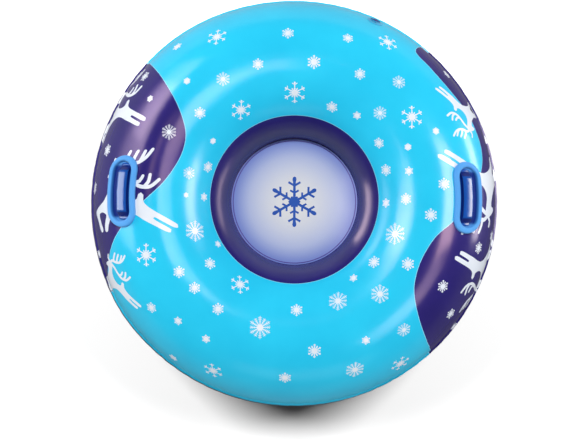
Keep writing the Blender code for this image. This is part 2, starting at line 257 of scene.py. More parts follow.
@dataclass
class View:
    """The photograph's camera, with pixels counted in its frame from the top left."""

    elevation: float = 86.6
    distance: float = 3.435
    focal_pixels: float = 1402.0
    centre_x: float = 294.3
    centre_y: float = 201.8
    target_height: float = 0.155
    sensor_width: float = 36.0
    clip_end: float = 50.0

    def __post_init__(self) -> None:
        """Works out the camera's place and how it is turned."""
        tilt = math.radians(self.elevation)
        back = Vector((0, -math.cos(tilt), math.sin(tilt)))
        target = Vector((0, 0, self.target_height))
        self.location = target + back * self.distance
        across = (VIEW_WIDTH / 2 - self.centre_x) * self.distance / self.focal_pixels
        along = (self.centre_y - VIEW_HEIGHT / 2) * self.distance / self.focal_pixels
        aim = target + Vector((across, along, 0))
        self.rotation = (aim - self.location).to_track_quat("-Z", "Y")

    def ray(self, x: float, y: float) -> Vector:
        """The direction in which a pixel is seen.

        Args:
            x: The pixel's column.
            y: The pixel's row.

        Returns:
            The direction, of length 1.
        """
        sideways = (x - VIEW_WIDTH / 2) / self.focal_pixels
        upwards = (VIEW_HEIGHT / 2 - y) / self.focal_pixels
        return (self.rotation @ Vector((sideways, upwards, -1))).normalized()

    def make_camera(self) -> None:
        """Adds the camera and makes it the scene's."""
        deselect_all()
        bpy.ops.object.camera_add(location=self.location)
        camera = bpy.context.object
        camera.rotation_mode = "QUATERNION"
        camera.rotation_quaternion = self.rotation
        camera.data.sensor_width = self.sensor_width
        camera.data.lens = self.sensor_width * self.focal_pixels / VIEW_WIDTH
        camera.data.clip_end = self.clip_end
        bpy.context.scene.camera = camera


@dataclass
class Ring:
    """The inflated ring. It places everything on its skins, by azimuth and by turn round the section.

    The turn is 0 at the rim weld, a quarter at the crest and a half at the seat weld. Folds start at both
    welds and fade over a length of skin. A swell of the outer wall is its height, its azimuth and its width.
    """

    seat_radius: float = 0.155
    rim_width: float = 0.007
    seat_weld_width: float = 0.010
    top_sheet: float = 0.0006
    bottom_sheet: float = 0.0009
    gap: float = 0.0003
    ground_press: float = 0.005
    exponent: float = 1.2
    rim_folds: int = 78
    rim_fold_depth: float = 0.0022
    rim_fold_start: float = 0.005
    rim_fold_length: float = 0.030
    rim_phase: float = 0.4
    seat_folds: int = 44
    seat_fold_depth: float = 0.0011
    seat_fold_start: float = 0.004
    seat_fold_length: float = 0.020
    seat_phase: float = 1.7
    fold_fade: float = 1.6
    fold_sharpness: float = 2.2
    fold_wander: tuple[float, float] = (1.9, 1.2)
    fold_strength: tuple[float, float] = (0.62, 0.38)
    swells: tuple = ((0.0032, 125, 20), (0.0030, 212, 11))
    swell_base: float = 0.0012
    scallop: float = 0.0010
    crimp: float = 0.00012
    rim_droop: float = 38.0
    print_margin: float = 0.0012
    samples: int = 721

    def __post_init__(self) -> None:
        """Takes the ring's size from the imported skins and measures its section."""
        low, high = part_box("top_skin")
        self.rim_radius = high.x
        self.body_radius = self.rim_radius - self.rim_width
        self.middle = (self.body_radius + self.seat_radius) / 2
        self.half = (self.body_radius - self.seat_radius) / 2
        self.seam_z = low.z + self.top_sheet
        self.rise = high.z - self.seam_z
        self.under_z = self.seam_z - self.top_sheet - self.gap - self.bottom_sheet
        self.under_rise = self.under_z + self.ground_press
        self.turns = np.linspace(0, math.pi, self.samples)
        radius, height = self.section(self.turns)
        steps = np.hypot(np.diff(radius), np.diff(height))
        self.lengths = np.concatenate(([0.0], np.cumsum(steps)))

    def section(self, turn: np.ndarray) -> tuple[np.ndarray, np.ndarray]:
        """Radius and height of the top skin at a turn."""
        return self.middle + self.half * np.cos(turn), self.seam_z + self.rise * self.arch(turn)

    def arch(self, turn: np.ndarray) -> np.ndarray:
        """How high the section stands at a turn, as a share of its rise."""
        return np.clip(np.sin(turn), 0, 1) ** self.exponent

    def length_at(self, turn: np.ndarray) -> np.ndarray:
        """Distance along the skin from the rim weld."""
        return np.interp(turn, self.turns, self.lengths)

    def turn_at(self, length: np.ndarray) -> np.ndarray:
        """The turn at a distance along the skin from the rim weld."""
        return np.interp(length, self.lengths, self.turns)

    def gathers(self, azimuth: np.ndarray, count: int, phase: float) -> np.ndarray:
        """How deep the folds are round the ring.

        Slow waves of 5 and 9 lobes set them unevenly apart, and waves of 3 and 8 lobes make some shallower.

        Args:
            azimuth: Angles round the ring.
            count: How many folds there are.
            phase: Where the slow waves start.

        Returns:
            Shares, from 0 between the folds to 1 in the deepest.
        """
        wander = self.fold_wander[0] * np.sin(5 * azimuth + phase)
        wander = wander + self.fold_wander[1] * np.sin(9 * azimuth + 2 * phase)
        valley = ((1 + np.cos(count * azimuth + wander)) / 2) ** self.fold_sharpness
        least, more = self.fold_strength
        return valley * (least + more * np.sin(3 * azimuth + 1 + phase) * np.sin(8 * azimuth + phase))

    def fold(self, azimuth: np.ndarray, length: np.ndarray) -> np.ndarray:
        """Depth of the folds that start at the two welds.

        Args:
            azimuth: Angles round the ring.
            length: Distances along the skin from the rim weld.

        Returns:
            One depth a point.
        """
        depth = 0.0
        for away, folds, phase, size, start, reach in (
                (length, self.rim_folds, self.rim_phase,
                 self.rim_fold_depth, self.rim_fold_start, self.rim_fold_length),
                (self.lengths[-1] - length, self.seat_folds, self.seat_phase,
                 self.seat_fold_depth, self.seat_fold_start, self.seat_fold_length)):
            away = np.maximum(away, 0)
            share = (1 - np.exp(-away / start)) * np.exp(-((away / reach) ** self.fold_fade))
            depth = depth + size * share * self.gathers(azimuth, folds, phase)
        return depth

    def swell(self, azimuth: np.ndarray, radius: np.ndarray) -> np.ndarray:
        """How far the outer wall stands out of a true circle.

        Args:
            azimuth: Angles round the ring.
            radius: Distances from the ring's axis.

        Returns:
            One distance a point.
        """
        degrees = np.degrees(azimuth)
        outward = sum(height * bump(degrees, middle, width) for height, middle, width in self.swells)
        return (outward - self.swell_base) * np.clip((radius - self.middle) / self.half, 0, 1) ** 2

    def place(self, azimuth: np.ndarray, turn: np.ndarray, lift: np.ndarray = 0.0) -> np.ndarray:
        """Points on or over the top skin.

        Args:
            azimuth: Angle round the ring.
            turn: Angle round the section.
            lift: Height over the skin.

        Returns:
            One row a point.
        """
        azimuth, turn, lift = np.broadcast_arrays(azimuth, turn, lift)
        radius, height = self.section(turn)
        step = 0.002
        ahead = self.section(np.clip(turn + step, 0, math.pi))
        behind = self.section(np.clip(turn - step, 0, math.pi))
        back, rise = ahead[0] - behind[0], ahead[1] - behind[1]
        size = np.hypot(back, rise)
        lift = lift - self.fold(azimuth, self.length_at(turn))
        radius = radius + lift * rise / size
        height = height - lift * back / size
        radius = radius + self.swell(azimuth, radius)
        return np.stack((radius * np.cos(azimuth), radius * np.sin(azimuth), height), axis=1)

    def lay(self, flat: np.ndarray, azimuth: float, turn: float) -> np.ndarray:
        """Lays a flat shape on the skin, and on the rim weld where it reaches past the skin.

        Args:
            flat: Rows of distance outward along the skin, distance round the ring and height over the skin.
            azimuth: Where its middle goes, round the ring.
            turn: Where its middle goes, round the section.

        Returns:
            The laid points, one row each.
        """
        lengths = self.length_at(turn) - flat[:, 0]
        turns = self.turn_at(lengths)
        azimuths = azimuth + flat[:, 1] / self.section(turns)[0]
        on_weld = lengths < 0
        points = self.place(azimuths, turns, np.where(on_weld, 0, flat[:, 2]))
        reach = np.clip(-lengths, 0, self.rim_width - self.print_margin)
        lift = np.where(on_weld, flat[:, 2], 0)
        droop = math.radians(self.rim_droop)
        outward = reach * math.cos(droop) + lift * math.sin(droop)
        upward = lift * math.cos(droop) - reach * math.sin(droop)
        return points + np.stack((outward * np.cos(azimuths), outward * np.sin(azimuths), upward), axis=1)

    def wrap(self, item: bpy.types.Object, flat: np.ndarray, azimuth: float, turn: float) -> None:
        """Lays an object on the skin, with its middle at an azimuth and a turn in degrees."""
        set_points(item, self.lay(flat, math.radians(azimuth), math.radians(turn)))

    def seen_at(self, view: View, x: float, y: float) -> tuple[float, float]:
        """The place of the top skin that shows at a pixel.

        Args:
            view: The photograph's camera.
            x: The pixel's column.
            y: The pixel's row.

        Returns:
            The azimuth and the turn.
        """
        ray = view.ray(x, y)
        above, steps = 0.001, 400
        point = view.location + ray * ((self.seam_z + self.rise + above - view.location.z) / ray.z)
        fall = (self.rise + above) / steps
        for _ in range(steps):
            radius = math.hypot(point.x, point.y)
            share = min(1, max(-1, (radius - self.middle) / self.half))
            if abs(share) < 1 and point.z <= self.section(np.array(math.acos(share)))[1]:
                break
            point = point - ray * (fall / ray.z)
        return math.atan2(point.y, point.x), math.acos(share)


class Shader:
    """A procedural material under construction."""

    def __init__(self, name: str) -> None:
        """Starts a material with one Principled shader.

        Args:
            name: The material's name.
        """
        self.material = bpy.data.materials.new(name)
        self.material.use_nodes = True
        self.tree = self.material.node_tree
        self.surface = self.tree.nodes["Principled BSDF"]

    def node(self, kind: str, **settings) -> bpy.types.Node:
        """Adds a node.

        Args:
            kind: The node's type, without its ShaderNode.
            **settings: Its own settings.

        Returns:
            The node.
        """
        made = self.tree.nodes.new("ShaderNode" + kind)
        for key, value in settings.items():
            setattr(made, key, value)
        return made

    def feed(self, socket: bpy.types.NodeSocket, value: object) -> None:
        """Links an output to a socket, or sets the socket's value.

        Args:
            socket: The socket.
            value: An output, a colour or a number.
        """
        if isinstance(value, bpy.types.NodeSocket):
            self.tree.links.new(value, socket)
        elif isinstance(value, tuple) and len(value) == 3 and socket.type == "RGBA":
            socket.default_value = (*value, 1.0)
        else:
            socket.default_value = value

    def maths(self, operation: str, *values: object) -> bpy.types.NodeSocket:
        """One step of arithmetic.

        Args:
            operation: The Math node's operation.
            *values: What it works on, outputs or numbers.

        Returns:
            Its output.
        """
        made = self.node("Math", operation=operation)
        for socket, value in zip(made.inputs, values):
            self.feed(socket, value)
        return made.outputs[0]

    def mix(self, share: object, first: object, second: object) -> bpy.types.NodeSocket:
        """A blend of two colours.

        Args:
            share: How much of the second colour it takes.
            first: The first colour.
            second: The second colour.

        Returns:
            Its output.
        """
        made = self.node("Mix", data_type="RGBA")
        self.feed(made.inputs[0], share)
        self.feed(made.inputs[6], first)
        self.feed(made.inputs[7], second)
        return made.outputs[2]

    def noise(self, scale: float, detail: float) -> bpy.types.NodeSocket:
        """Noise over the object's own coordinates.

        Args:
            scale: How fine it is.
            detail: How many finer layers it has.

        Returns:
            Its output, 0 to 1.
        """
        made = self.node("TexNoise")
        self.feed(made.inputs["Vector"], self.node("TexCoord").outputs["Object"])
        made.inputs["Scale"].default_value = scale
        made.inputs["Detail"].default_value = detail
        return made.outputs["Fac"]

    def ranged(self, value: object, ends: Sequence[float], kind: str = "LINEAR") -> bpy.types.NodeSocket:
        """Maps one range onto another.

        Args:
            value: What is mapped.
            ends: The first range's ends and the second's.
            kind: How it goes between them.

        Returns:
            Its output.
        """
        made = self.node("MapRange", interpolation_type=kind)
        self.feed(made.inputs["Value"], value)
        for key, number in zip(("From Min", "From Max", "To Min", "To Max"), ends):
            made.inputs[key].default_value = number
        return made.outputs[0]

    def spread(self, value: object, low: float, high: float) -> bpy.types.NodeSocket:
        """Maps the range in which noise mostly lies onto another."""
        return self.ranged(value, (NOISE_LOW, NOISE_HIGH, low, high))

    def radius(self) -> bpy.types.NodeSocket:
        """The distance from the object's upright axis.

        Returns:
            Its output.
        """
        split = self.node("SeparateXYZ")
        self.feed(split.inputs[0], self.node("TexCoord").outputs["Object"])
        squares = [self.maths("MULTIPLY", split.outputs[axis], split.outputs[axis]) for axis in (0, 1)]
        return self.maths("SQRT", self.maths("ADD", *squares))

    def relief(self, layers: Sequence[tuple[object, float]]) -> None:
        """Adds bumps, one on the other.

        Args:
            layers: Each bump's height and its depth in metres.
        """
        below = None
        for height, depth in layers:
            made = self.node("Bump")
            made.inputs["Strength"].default_value = 1.0
            made.inputs["Distance"].default_value = depth
            self.feed(made.inputs["Height"], height)
            if below:
                self.feed(made.inputs["Normal"], below)
            below = made.outputs[0]
        self.feed(self.surface.inputs["Normal"], below)


@dataclass(frozen=True)
class Vinyl:
    """Soft glossy plastic sheet or moulding, with a faint grain and slow waves in its gloss."""

    name: str
    colour: Colour
    deep: Colour
    slot: str
    gloss: tuple[float, float] = (0.19, 0.23)
    gloss_scale: float = 30.0
    tone_scale: float = 9.0
    grain: float = 0.000004
    grain_scale: float = 700.0
    wave: float = 0.00035
    wave_scale: float = 16.0
    ior: float = 1.52
    subsurface: float = 0.0
    subsurface_radius: Colour = (0.002, 0.003, 0.004)

    def roughness(self, shader: Shader) -> bpy.types.NodeSocket:
        """The sheet's roughness, a little uneven."""
        return shader.spread(shader.noise(self.gloss_scale, 2.0), *self.gloss)

    def tone(self, shader: Shader) -> bpy.types.NodeSocket:
        """Where the sheet is printed deeper, from 0 to 1."""
        return shader.spread(shader.noise(self.tone_scale, 3.0), 0.0, 1.0)

    def colour_output(self, shader: Shader) -> bpy.types.NodeSocket:
        """The sheet's colour, a little uneven."""
        return shader.mix(self.tone(shader), self.colour, self.deep)

    def make(self) -> bpy.types.Material:
        """Builds the material.

        Returns:
            The material.
        """
        shader = Shader(self.name)
        surface = shader.surface
        shader.feed(surface.inputs["Base Color"], self.colour_output(shader))
        shader.feed(surface.inputs["Roughness"], self.roughness(shader))
        surface.inputs["IOR"].default_value = self.ior
        if self.subsurface:
            surface.inputs["Subsurface Weight"].default_value = self.subsurface
            surface.inputs["Subsurface Radius"].default_value = self.subsurface_radius
            surface.inputs["Subsurface Scale"].default_value = 1.0
        shader.relief((
            (shader.noise(self.wave_scale, 1.0), self.wave),
            (shader.noise(self.grain_scale, 2.0), self.grain),
        ))
        return shader.material


@dataclass(frozen=True)
class PrintedVinyl(Vinyl):
    """The top sheet: cyan, with purple fields edged by a thin pale line.

    The mesh's "purple" attribute is the distance into a purple field, below 0 outside.
    """

    purple: Colour = srgb(42, 33, 112)
    purple_deep: Colour = srgb(36, 28, 100)
    line: Colour = srgb(140, 214, 244)
    line_width: float = 0.0014
    matt_radius: tuple[float, float] = (0.188, 0.212)
    matt_roughness: tuple[float, float] = (0.26, 0.0)

    def roughness(self, shader: Shader) -> bpy.types.NodeSocket:
        """The sheet's roughness, which is greater on the purple ring round the seat."""
        fade = shader.ranged(shader.radius(), (*self.matt_radius, *self.matt_roughness))
        return shader.maths("MAXIMUM", super().roughness(shader), fade)

    def colour_output(self, shader: Shader) -> bpy.types.NodeSocket:
        """Cyan, pale line and purple field, by distance.

        Args:
            shader: The material under construction.

        Returns:
            The colour's output.
        """
        inside = shader.node("Attribute", attribute_name="purple").outputs["Fac"]
        tone = self.tone(shader)
        cyan = shader.mix(tone, self.colour, self.deep)
        purple = shader.mix(tone, self.purple, self.purple_deep)
        lined = shader.mix(shader.maths("GREATER_THAN", inside, -self.line_width), cyan, self.line)
        return shader.mix(shader.maths("GREATER_THAN", inside, 0.0), lined, purple)


@dataclass(frozen=True)
class ShadePaintedVinyl(Vinyl):
    """A moulding in its own pale blue, with painted shade in deep blue where its "depth" attribute says: in
    the tray's hollow and on the bar's ends and sides.
    """

    # The deep blue of the painted shade.
    shade_colour: Colour = srgb(8, 38, 122)

    def colour_output(self, shader: Shader) -> bpy.types.NodeSocket:
        """The moulding's own colour, mixed towards the painted shade by the "depth" attribute."""
        depth = shader.node("Attribute", attribute_name="depth").outputs["Fac"]
        return shader.mix(depth, super().colour_output(shader), self.shade_colour)


@dataclass(frozen=True)
class SeatVinyl(Vinyl):
    """The seat sheet: a printed glow, pale in the middle and periwinkle at its edge."""

    middle: Colour = srgb(226, 226, 225)
    edge: Colour = srgb(84, 108, 192)
    radius: float = 0.155
    stops: tuple[float, ...] = (0.0, 0.30, 0.72, 1.0)

    def colour_output(self, shader: Shader) -> bpy.types.NodeSocket:
        """The glow, by distance from the middle.

        Args:
            shader: The material under construction.

        Returns:
            The colour's output.
        """
        ramp = shader.node("ValToRGB")
        ramp.color_ramp.interpolation = "B_SPLINE"
        while len(ramp.color_ramp.elements) < len(self.stops):
            ramp.color_ramp.elements.new(0.5)
        colours = (self.middle, self.middle, self.colour, self.edge)
        for element, stop, colour in zip(ramp.color_ramp.elements, self.stops, colours):
            element.position = stop
            element.color = (*colour, 1.0)
        shader.feed(ramp.inputs[0], shader.maths("DIVIDE", shader.radius(), self.radius))
        return ramp.outputs[0]


class Finish(Enum):
    """The finishes of the tube's pieces."""

    TOP = PrintedVinyl("printed_vinyl", srgb(40, 199, 237), srgb(34, 191, 231), "printed_pvc")
    INK = Vinyl("white_ink", srgb(228, 232, 239), srgb(219, 227, 237), "printed_pvc", wave=0.0001)
    BLUE_INK = Vinyl("blue_ink", srgb(52, 92, 178), srgb(46, 84, 168), "seat_pvc", wave=0.0001)
    BEAD = Vinyl("weld_bead", srgb(96, 84, 158), srgb(80, 68, 142), "printed_pvc", wave=0.0001)
    BOTTOM = Vinyl(
        "charcoal_vinyl", srgb(58, 60, 66), srgb(48, 50, 56), "bottom_pvc",
        gloss=(0.36, 0.48), grain=0.00006, grain_scale=420.0)
    SEAT = SeatVinyl("seat_vinyl", srgb(178, 192, 228), srgb(174, 188, 226), "seat_pvc", wave=0.0002)
    # The tray's hollow takes a painted shade of deep blue.
    TRAY = ShadePaintedVinyl(
        "handle_tray_vinyl", srgb(92, 166, 234), srgb(84, 158, 228), "handle_pvc",
        gloss=(0.36, 0.42), wave=0.0001, wave_scale=60.0)
    # The bar's ramps and sides take a painted shade of deep blue.
    BAR = ShadePaintedVinyl(
        "handle_bar_vinyl", srgb(20, 80, 168), srgb(16, 74, 158), "handle_pvc",
        gloss=(0.18, 0.22), wave=0.0001, wave_scale=60.0, shade_colour=srgb(8, 30, 104))
    VALVE = Vinyl(
        "valve_vinyl", srgb(72, 178, 222), srgb(60, 164, 214), "valve_pvc",
        wave=0.00005, wave_scale=120.0, subsurface=0.3)
    PLUG = Vinyl(
        "plug_vinyl", srgb(20, 62, 132), srgb(16, 54, 120), "plug_pvc", wave=0.00005, wave_scale=120.0)

    def material(self) -> bpy.types.Material:
        """The finish's material, made once."""
        return bpy.data.materials.get(self.value.name) or self.value.make()


def dress(
        item: bpy.types.Object, finish: Finish, body: str = TUBE_BODY,
        stands_for: Sequence[str] = ()) -> None:
    """Gives a piece its finish and its body.

    Args:
        item: The piece, in place.
        finish: Its finish.
        body: The body that it moves with.
        stands_for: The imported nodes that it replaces.
    """
    item.data.materials.clear()
    item.data.materials.append(finish.material())
    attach(item, body)
    if stands_for:
        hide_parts(*stands_for)
    item.data.calc_loop_triangles()
    log.info("%s: %d triangles, on %s", item.name, len(item.data.loop_triangles), body)


def smooth_line(points: Sequence[tuple[float, float]], spacing: float, closed: bool = False) -> Outline:
    """A smooth line through points.

    Args:
        points: The points, in order.
        spacing: How far apart the new points lie.
        closed: Whether the line ends where it starts.

    Returns:
        The line's points.
    """
    count = len(points)
    spans = range(count if closed else count - 1)
    made = []
    for span in spans:
        near = [points[(span + step) % count] if closed else points[min(max(span + step, 0), count - 1)]
                for step in (-1, 0, 1, 2)]
        before, start, end, after = (np.array(point, float) for point in near)
        pieces = max(1, round(float(np.linalg.norm(end - start)) / spacing))
        for step in range(pieces):
            share = step / pieces
            bend = (
                2 * start + (end - before) * share + (2 * before - 5 * start + 4 * end - after) * share ** 2
                + (3 * start - before - 3 * end + after) * share ** 3) / 2
            made.append((float(bend[0]), float(bend[1])))
    if not closed:
        made.append(tuple(points[-1]))
    return made


@dataclass
class PurpleFields:
    """Where the top sheet is printed purple: a field under each handle, and a ring round the seat.

    The fields' edges are pixels of the view, each from the rim to the rim again. An arc beyond the rim closes
    each field, on the skin rolled out flat.
    """

    ring_radius: float = 0.2003
    edge_spacing: float = 0.5
    beyond: float = 0.7
    beyond_points: int = 24
    left_edge: tuple = (
        (136, 54), (146.6, 61), (160, 75), (175, 100), (183, 120), (185.5, 137), (180, 157), (164, 181),
        (142, 202), (127, 219), (114.5, 238), (109, 256), (108, 276), (111, 292))
    right_edge: tuple = (
        (434, 48), (421, 46.5), (416, 50.5), (420, 57), (430, 67), (451, 91), (467, 112), (477, 133),
        (482, 151), (482, 168), (476, 190), (466, 207), (453, 222), (435, 238), (421.6, 260), (415.3, 280),
        (414.7, 296), (418.6, 316), (426, 338), (436, 361))

    def flatten(self, ring: Ring, azimuth: np.ndarray, turn: np.ndarray) -> np.ndarray:
        """Rolls the skin out flat, round its middle, one row a point."""
        away = ring.body_radius - ring.length_at(turn)
        return np.stack((away * np.cos(azimuth), away * np.sin(azimuth)), axis=1)

    def distance(self, ring: Ring, view: View, azimuth: np.ndarray, turn: np.ndarray) -> np.ndarray:
        """Distance into the nearest purple field, below 0 outside.

        Args:
            ring: The ring that carries the print.
            view: The photograph's camera.
            azimuth: Angles round the ring.
            turn: Angles round the section.

        Returns:
            One distance a point.
        """
        ring_turn = math.acos((self.ring_radius - ring.middle) / ring.half)
        inside = ring.length_at(turn) - ring.length_at(ring_turn)
        points = ring.place(azimuth, turn)
        flat = self.flatten(ring, azimuth, turn)
        for edge in (self.left_edge, self.right_edge):
            inside = np.maximum(inside, self.field_distance(ring, view, edge, points, flat))
        return inside

    def field_distance(
            self, ring: Ring, view: View, edge: Outline, points: np.ndarray, flat: np.ndarray) -> np.ndarray:
        """Distance into one field, below 0 outside.

        Args:
            ring: The ring that carries the print.
            view: The photograph's camera.
            edge: The field's edge, in pixels.
            points: The skin's points.
            flat: The same points, rolled out flat.

        Returns:
            One distance a point.
        """
        seen = np.array([ring.seen_at(view, x, y) for x, y in smooth_line(edge, self.edge_spacing)])
        line = ring.place(seen[:, 0], seen[:, 1])
        rolled = self.flatten(ring, seen[:, 0], seen[:, 1])
        first, last = (math.atan2(*rolled[end][::-1]) for end in (0, -1))
        turn_back = (last - first + math.pi) % (2 * math.pi) - math.pi
        back = first + turn_back * np.linspace(1, 0, self.beyond_points)
        outer = np.stack((self.beyond * np.cos(back), self.beyond * np.sin(back)), 1)
        loop = np.concatenate((rolled, outer))
        crossings = np.zeros(len(flat), bool)
        for (x0, y0), (x1, y1) in zip(loop, np.roll(loop, -1, axis=0)):
            if y0 == y1:
                continue
            between = (y0 > flat[:, 1]) != (y1 > flat[:, 1])
            crossings ^= between & (flat[:, 0] < x0 + (flat[:, 1] - y0) * (x1 - x0) / (y1 - y0))
        tree = KDTree(len(line))
        for index, point in enumerate(line):
            tree.insert(point, index)
        tree.balance()
        away = np.array([tree.find(point)[2] for point in points])
        return np.where(crossings, away, -away)


@dataclass
class Skins:
    """The two sheets of the ring, welded at the rim and round the seat."""

    ring: Ring
    view: View
    around: int = 780
    outer_steps: int = 92
    inner_steps: int = 10
    bottom_steps: int = 64
    eased_share: float = 0.45
    even_share: float = 0.55
    dark_line: float = 0.0030
    dark_line_azimuth: float = 222.0

    def rows(self, steps: int, inner: int) -> list[tuple[float, float, float]]:
        """Rows across a sheet, out and back: turn, depth under the outer face, and reach past the ring.

        Args:
            steps: Rows over the outer face.
            inner: Rows over the inner face.

        Returns:
            One triple a row.
        """
        ring = self.ring
        shares = [0.5 - 0.5 * math.cos(math.pi * step / steps) for step in range(steps + 1)]
        blend = [
            self.eased_share * share + self.even_share * step / steps for step, share in enumerate(shares)]
        outer = [(float(ring.turn_at(ring.lengths[-1] * share)), 0.0, 0.0) for share in blend]
        back = [(math.pi * step / inner, 1.0, 0.0) for step in range(inner, -1, -1)]
        rim = [(0.0, 0.0, ring.rim_width), (0.0, 0.0, ring.rim_width / 2)]
        seat = [(math.pi, 0.0, ring.seat_weld_width), (math.pi, 1.0, ring.seat_weld_width)]
        return [*rim, *outer, *seat, *back, (0.0, 1.0, ring.rim_width), rim[0]]

    def sheet(self, name: str, under: bool) -> tuple[bpy.types.Object, np.ndarray, np.ndarray]:
        """Wraps a grid into one closed sheet.

        Args:
            name: The piece's name.
            under: Whether it is the bottom sheet.

        Returns:
            The piece, and the azimuth and turn of each vertex.
        """
        ring = self.ring
        rows = np.array(self.rows(self.bottom_steps if under else self.outer_steps, self.inner_steps))
        item, column, row = add_grid(name, self.around, len(rows) - 1)
        azimuth = 2 * math.pi * column / self.around
        turn, depth, reach = rows[row].T
        thickness = ring.bottom_sheet if under else ring.top_sheet
        points = ring.place(azimuth, turn, -depth * thickness)
        at_rim = (turn == 0) & (reach > 0)
        at_seat = (turn == math.pi) & (reach > 0)
        spoke = np.stack((np.cos(azimuth), np.sin(azimuth)), axis=1)
        scallops = ring.scallop * ring.gathers(azimuth, ring.rim_folds, ring.rim_phase)
        outward = np.where(at_rim, reach - scallops, 0)
        outward = np.where(at_seat, -reach, outward)
        tooth = np.where(at_rim & (column % 2 == 0), ring.crimp, 0)
        rim_foot = ring.body_radius + ring.swell(azimuth, ring.body_radius)
        radius = np.where(turn == 0, rim_foot, ring.seat_radius)
        if under:
            dark = self.dark_line * np.clip(np.cos(azimuth - math.radians(self.dark_line_azimuth)), 0, 1)
            outward = outward + np.where(at_rim, dark * reach / ring.rim_width, 0)
        flat = at_rim | at_seat
        droop = np.where(at_rim, math.radians(ring.rim_droop), 0.0)
        level = (radius + outward * np.cos(droop))[:, None]
        points[:, :2] = np.where(flat[:, None], spoke * level, points[:, :2])
        points[:, 2] = np.where(flat, ring.seam_z - depth * thickness + tooth, points[:, 2])
        if under:
            points[:, 2] = ring.under_z - (points[:, 2] - ring.seam_z) * ring.under_rise / ring.rise
            points[:, 2] = np.maximum(points[:, 2], np.where(depth > 0, thickness, 0))
        points[:, 2] -= outward * np.sin(droop)
        set_points(item, points)
        return item, azimuth, turn

    def build(self) -> None:
        """Makes and dresses both sheets."""
        top, azimuth, turn = self.sheet("tube_top", False)
        add_layer(top, "purple", PurpleFields().distance(self.ring, self.view, azimuth, turn))
        mend(top)
        smooth(top, SHEET_EDGE)
        dress(top, Finish.TOP, stands_for=["top_skin"])
        bottom, _, _ = self.sheet("tube_bottom", True)
        mend(bottom)
        smooth(bottom, SHEET_EDGE)
        dress(bottom, Finish.BOTTOM)
        self.build_floor(bottom)

    def build_floor(self, bottom: bpy.types.Object) -> None:
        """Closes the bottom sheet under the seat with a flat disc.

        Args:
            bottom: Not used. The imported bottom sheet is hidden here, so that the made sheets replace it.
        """
        ring = self.ring
        deselect_all()
        bpy.ops.mesh.primitive_cylinder_add(
            vertices=self.around // 4, radius=ring.seat_radius, depth=ring.bottom_sheet,
            end_fill_type="TRIFAN", location=(0, 0, ring.under_z + ring.bottom_sheet / 2))
        middle = settle(bpy.context.object, "tube_bottom_middle")
        smooth(middle, PIECE_EDGE)
        dress(middle, Finish.BOTTOM)
        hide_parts("bottom_skin")


@dataclass
class Seat:
    """The pale sheet that closes the middle, and the weld bead round it."""

    ring: Ring
    bead_radius: float = 0.0011
    bead_in: float = 0.0042
    bead_height: float = 0.7
    bead_around: int = 12
    around: int = 192
    steps: int = 20

    def rows(self, radius: float, thickness: float) -> Outline:
        """The sheet's section, from the middle of its top to the middle of its underside.

        Args:
            radius: The sheet's radius.
            thickness: The sheet's thickness.

        Returns:
            Radius and height over the sheet's underside.
        """
        top = [(radius * step / self.steps, thickness) for step in range(self.steps)]
        edge = [(radius - thickness / 4, thickness), (radius, thickness * 0.75), (radius, 0.0)]
        return [*top, *edge, (0.0, 0.0)]

    def build(self) -> None:
        """Makes and dresses the seat sheet and its bead."""
        low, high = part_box("seat_floor")
        thickness = high.z - low.z
        rows = [(radius, low.z + height) for radius, height in self.rows(high.x, thickness)]
        item = turned("seat_sheet", self.around, rows)
        smooth(item, PIECE_EDGE)
        dress(item, Finish.SEAT, stands_for=["seat_floor"])
        deselect_all()
        bpy.ops.mesh.primitive_torus_add(
            major_segments=self.around * 2, minor_segments=self.bead_around,
            major_radius=high.x - self.bead_in, minor_radius=self.bead_radius, location=(0, 0, high.z))
        bead = bpy.context.object
        bead.scale = (1, 1, self.bead_height)
        settle(bead, "seat_weld_bead")
        smooth(bead, ROUND_EDGE)
        dress(bead, Finish.BEAD)


class Cutout:
    """A flat shape, cut from thin film and laid on the ring or on the seat."""

    def __init__(self, name: str, outline: Outline, cell: float) -> None:
        """Cuts the film along an outline, and across in cells so that it can bend.

        Args:
            name: The shape's name.
            outline: Its outline, to the right and up in the view.
            cell: The size of the cells.
        """
        deselect_all()
        bpy.ops.mesh.primitive_circle_add(vertices=len(outline), radius=1, fill_type="NGON")
        item = bpy.context.object
        item.name = name
        set_points(item, np.array([(x, y, 0) for x, y in outline]))
        bm = bmesh.new()
        bm.from_mesh(item.data)
        self.cut(bm, cell)
        bmesh.ops.triangulate(bm, faces=bm.faces)
        bmesh.ops.recalc_face_normals(bm, faces=bm.faces)
        if next(iter(bm.faces)).normal.z < 0:
            bmesh.ops.reverse_faces(bm, faces=bm.faces)
        bm.verts.ensure_lookup_table()
        self.corners = np.array([vert.co[:2] for vert in bm.verts])
        self.faces = [[vert.index for vert in face.verts] for face in bm.faces]
        bm.free()
        bpy.data.objects.remove(item, do_unlink=True)

    def cut(self, bm: bmesh.types.BMesh, cell: float) -> None:
        """Bisects the film at every multiple of the cell, both ways.

        Args:
            bm: The film.
            cell: The size of the cells.
        """
        for axis in (Vector((1, 0, 0)), Vector((0, 1, 0))):
            places = [vert.co.dot(axis) for vert in bm.verts]
            for line in range(math.ceil(min(places) / cell), math.floor(max(places) / cell) + 1):
                bmesh.ops.bisect_plane(
                    bm, geom=bm.verts[:] + bm.edges[:] + bm.faces[:], dist=CUT_DISTANCE,
                    plane_co=axis * line * cell, plane_no=axis)


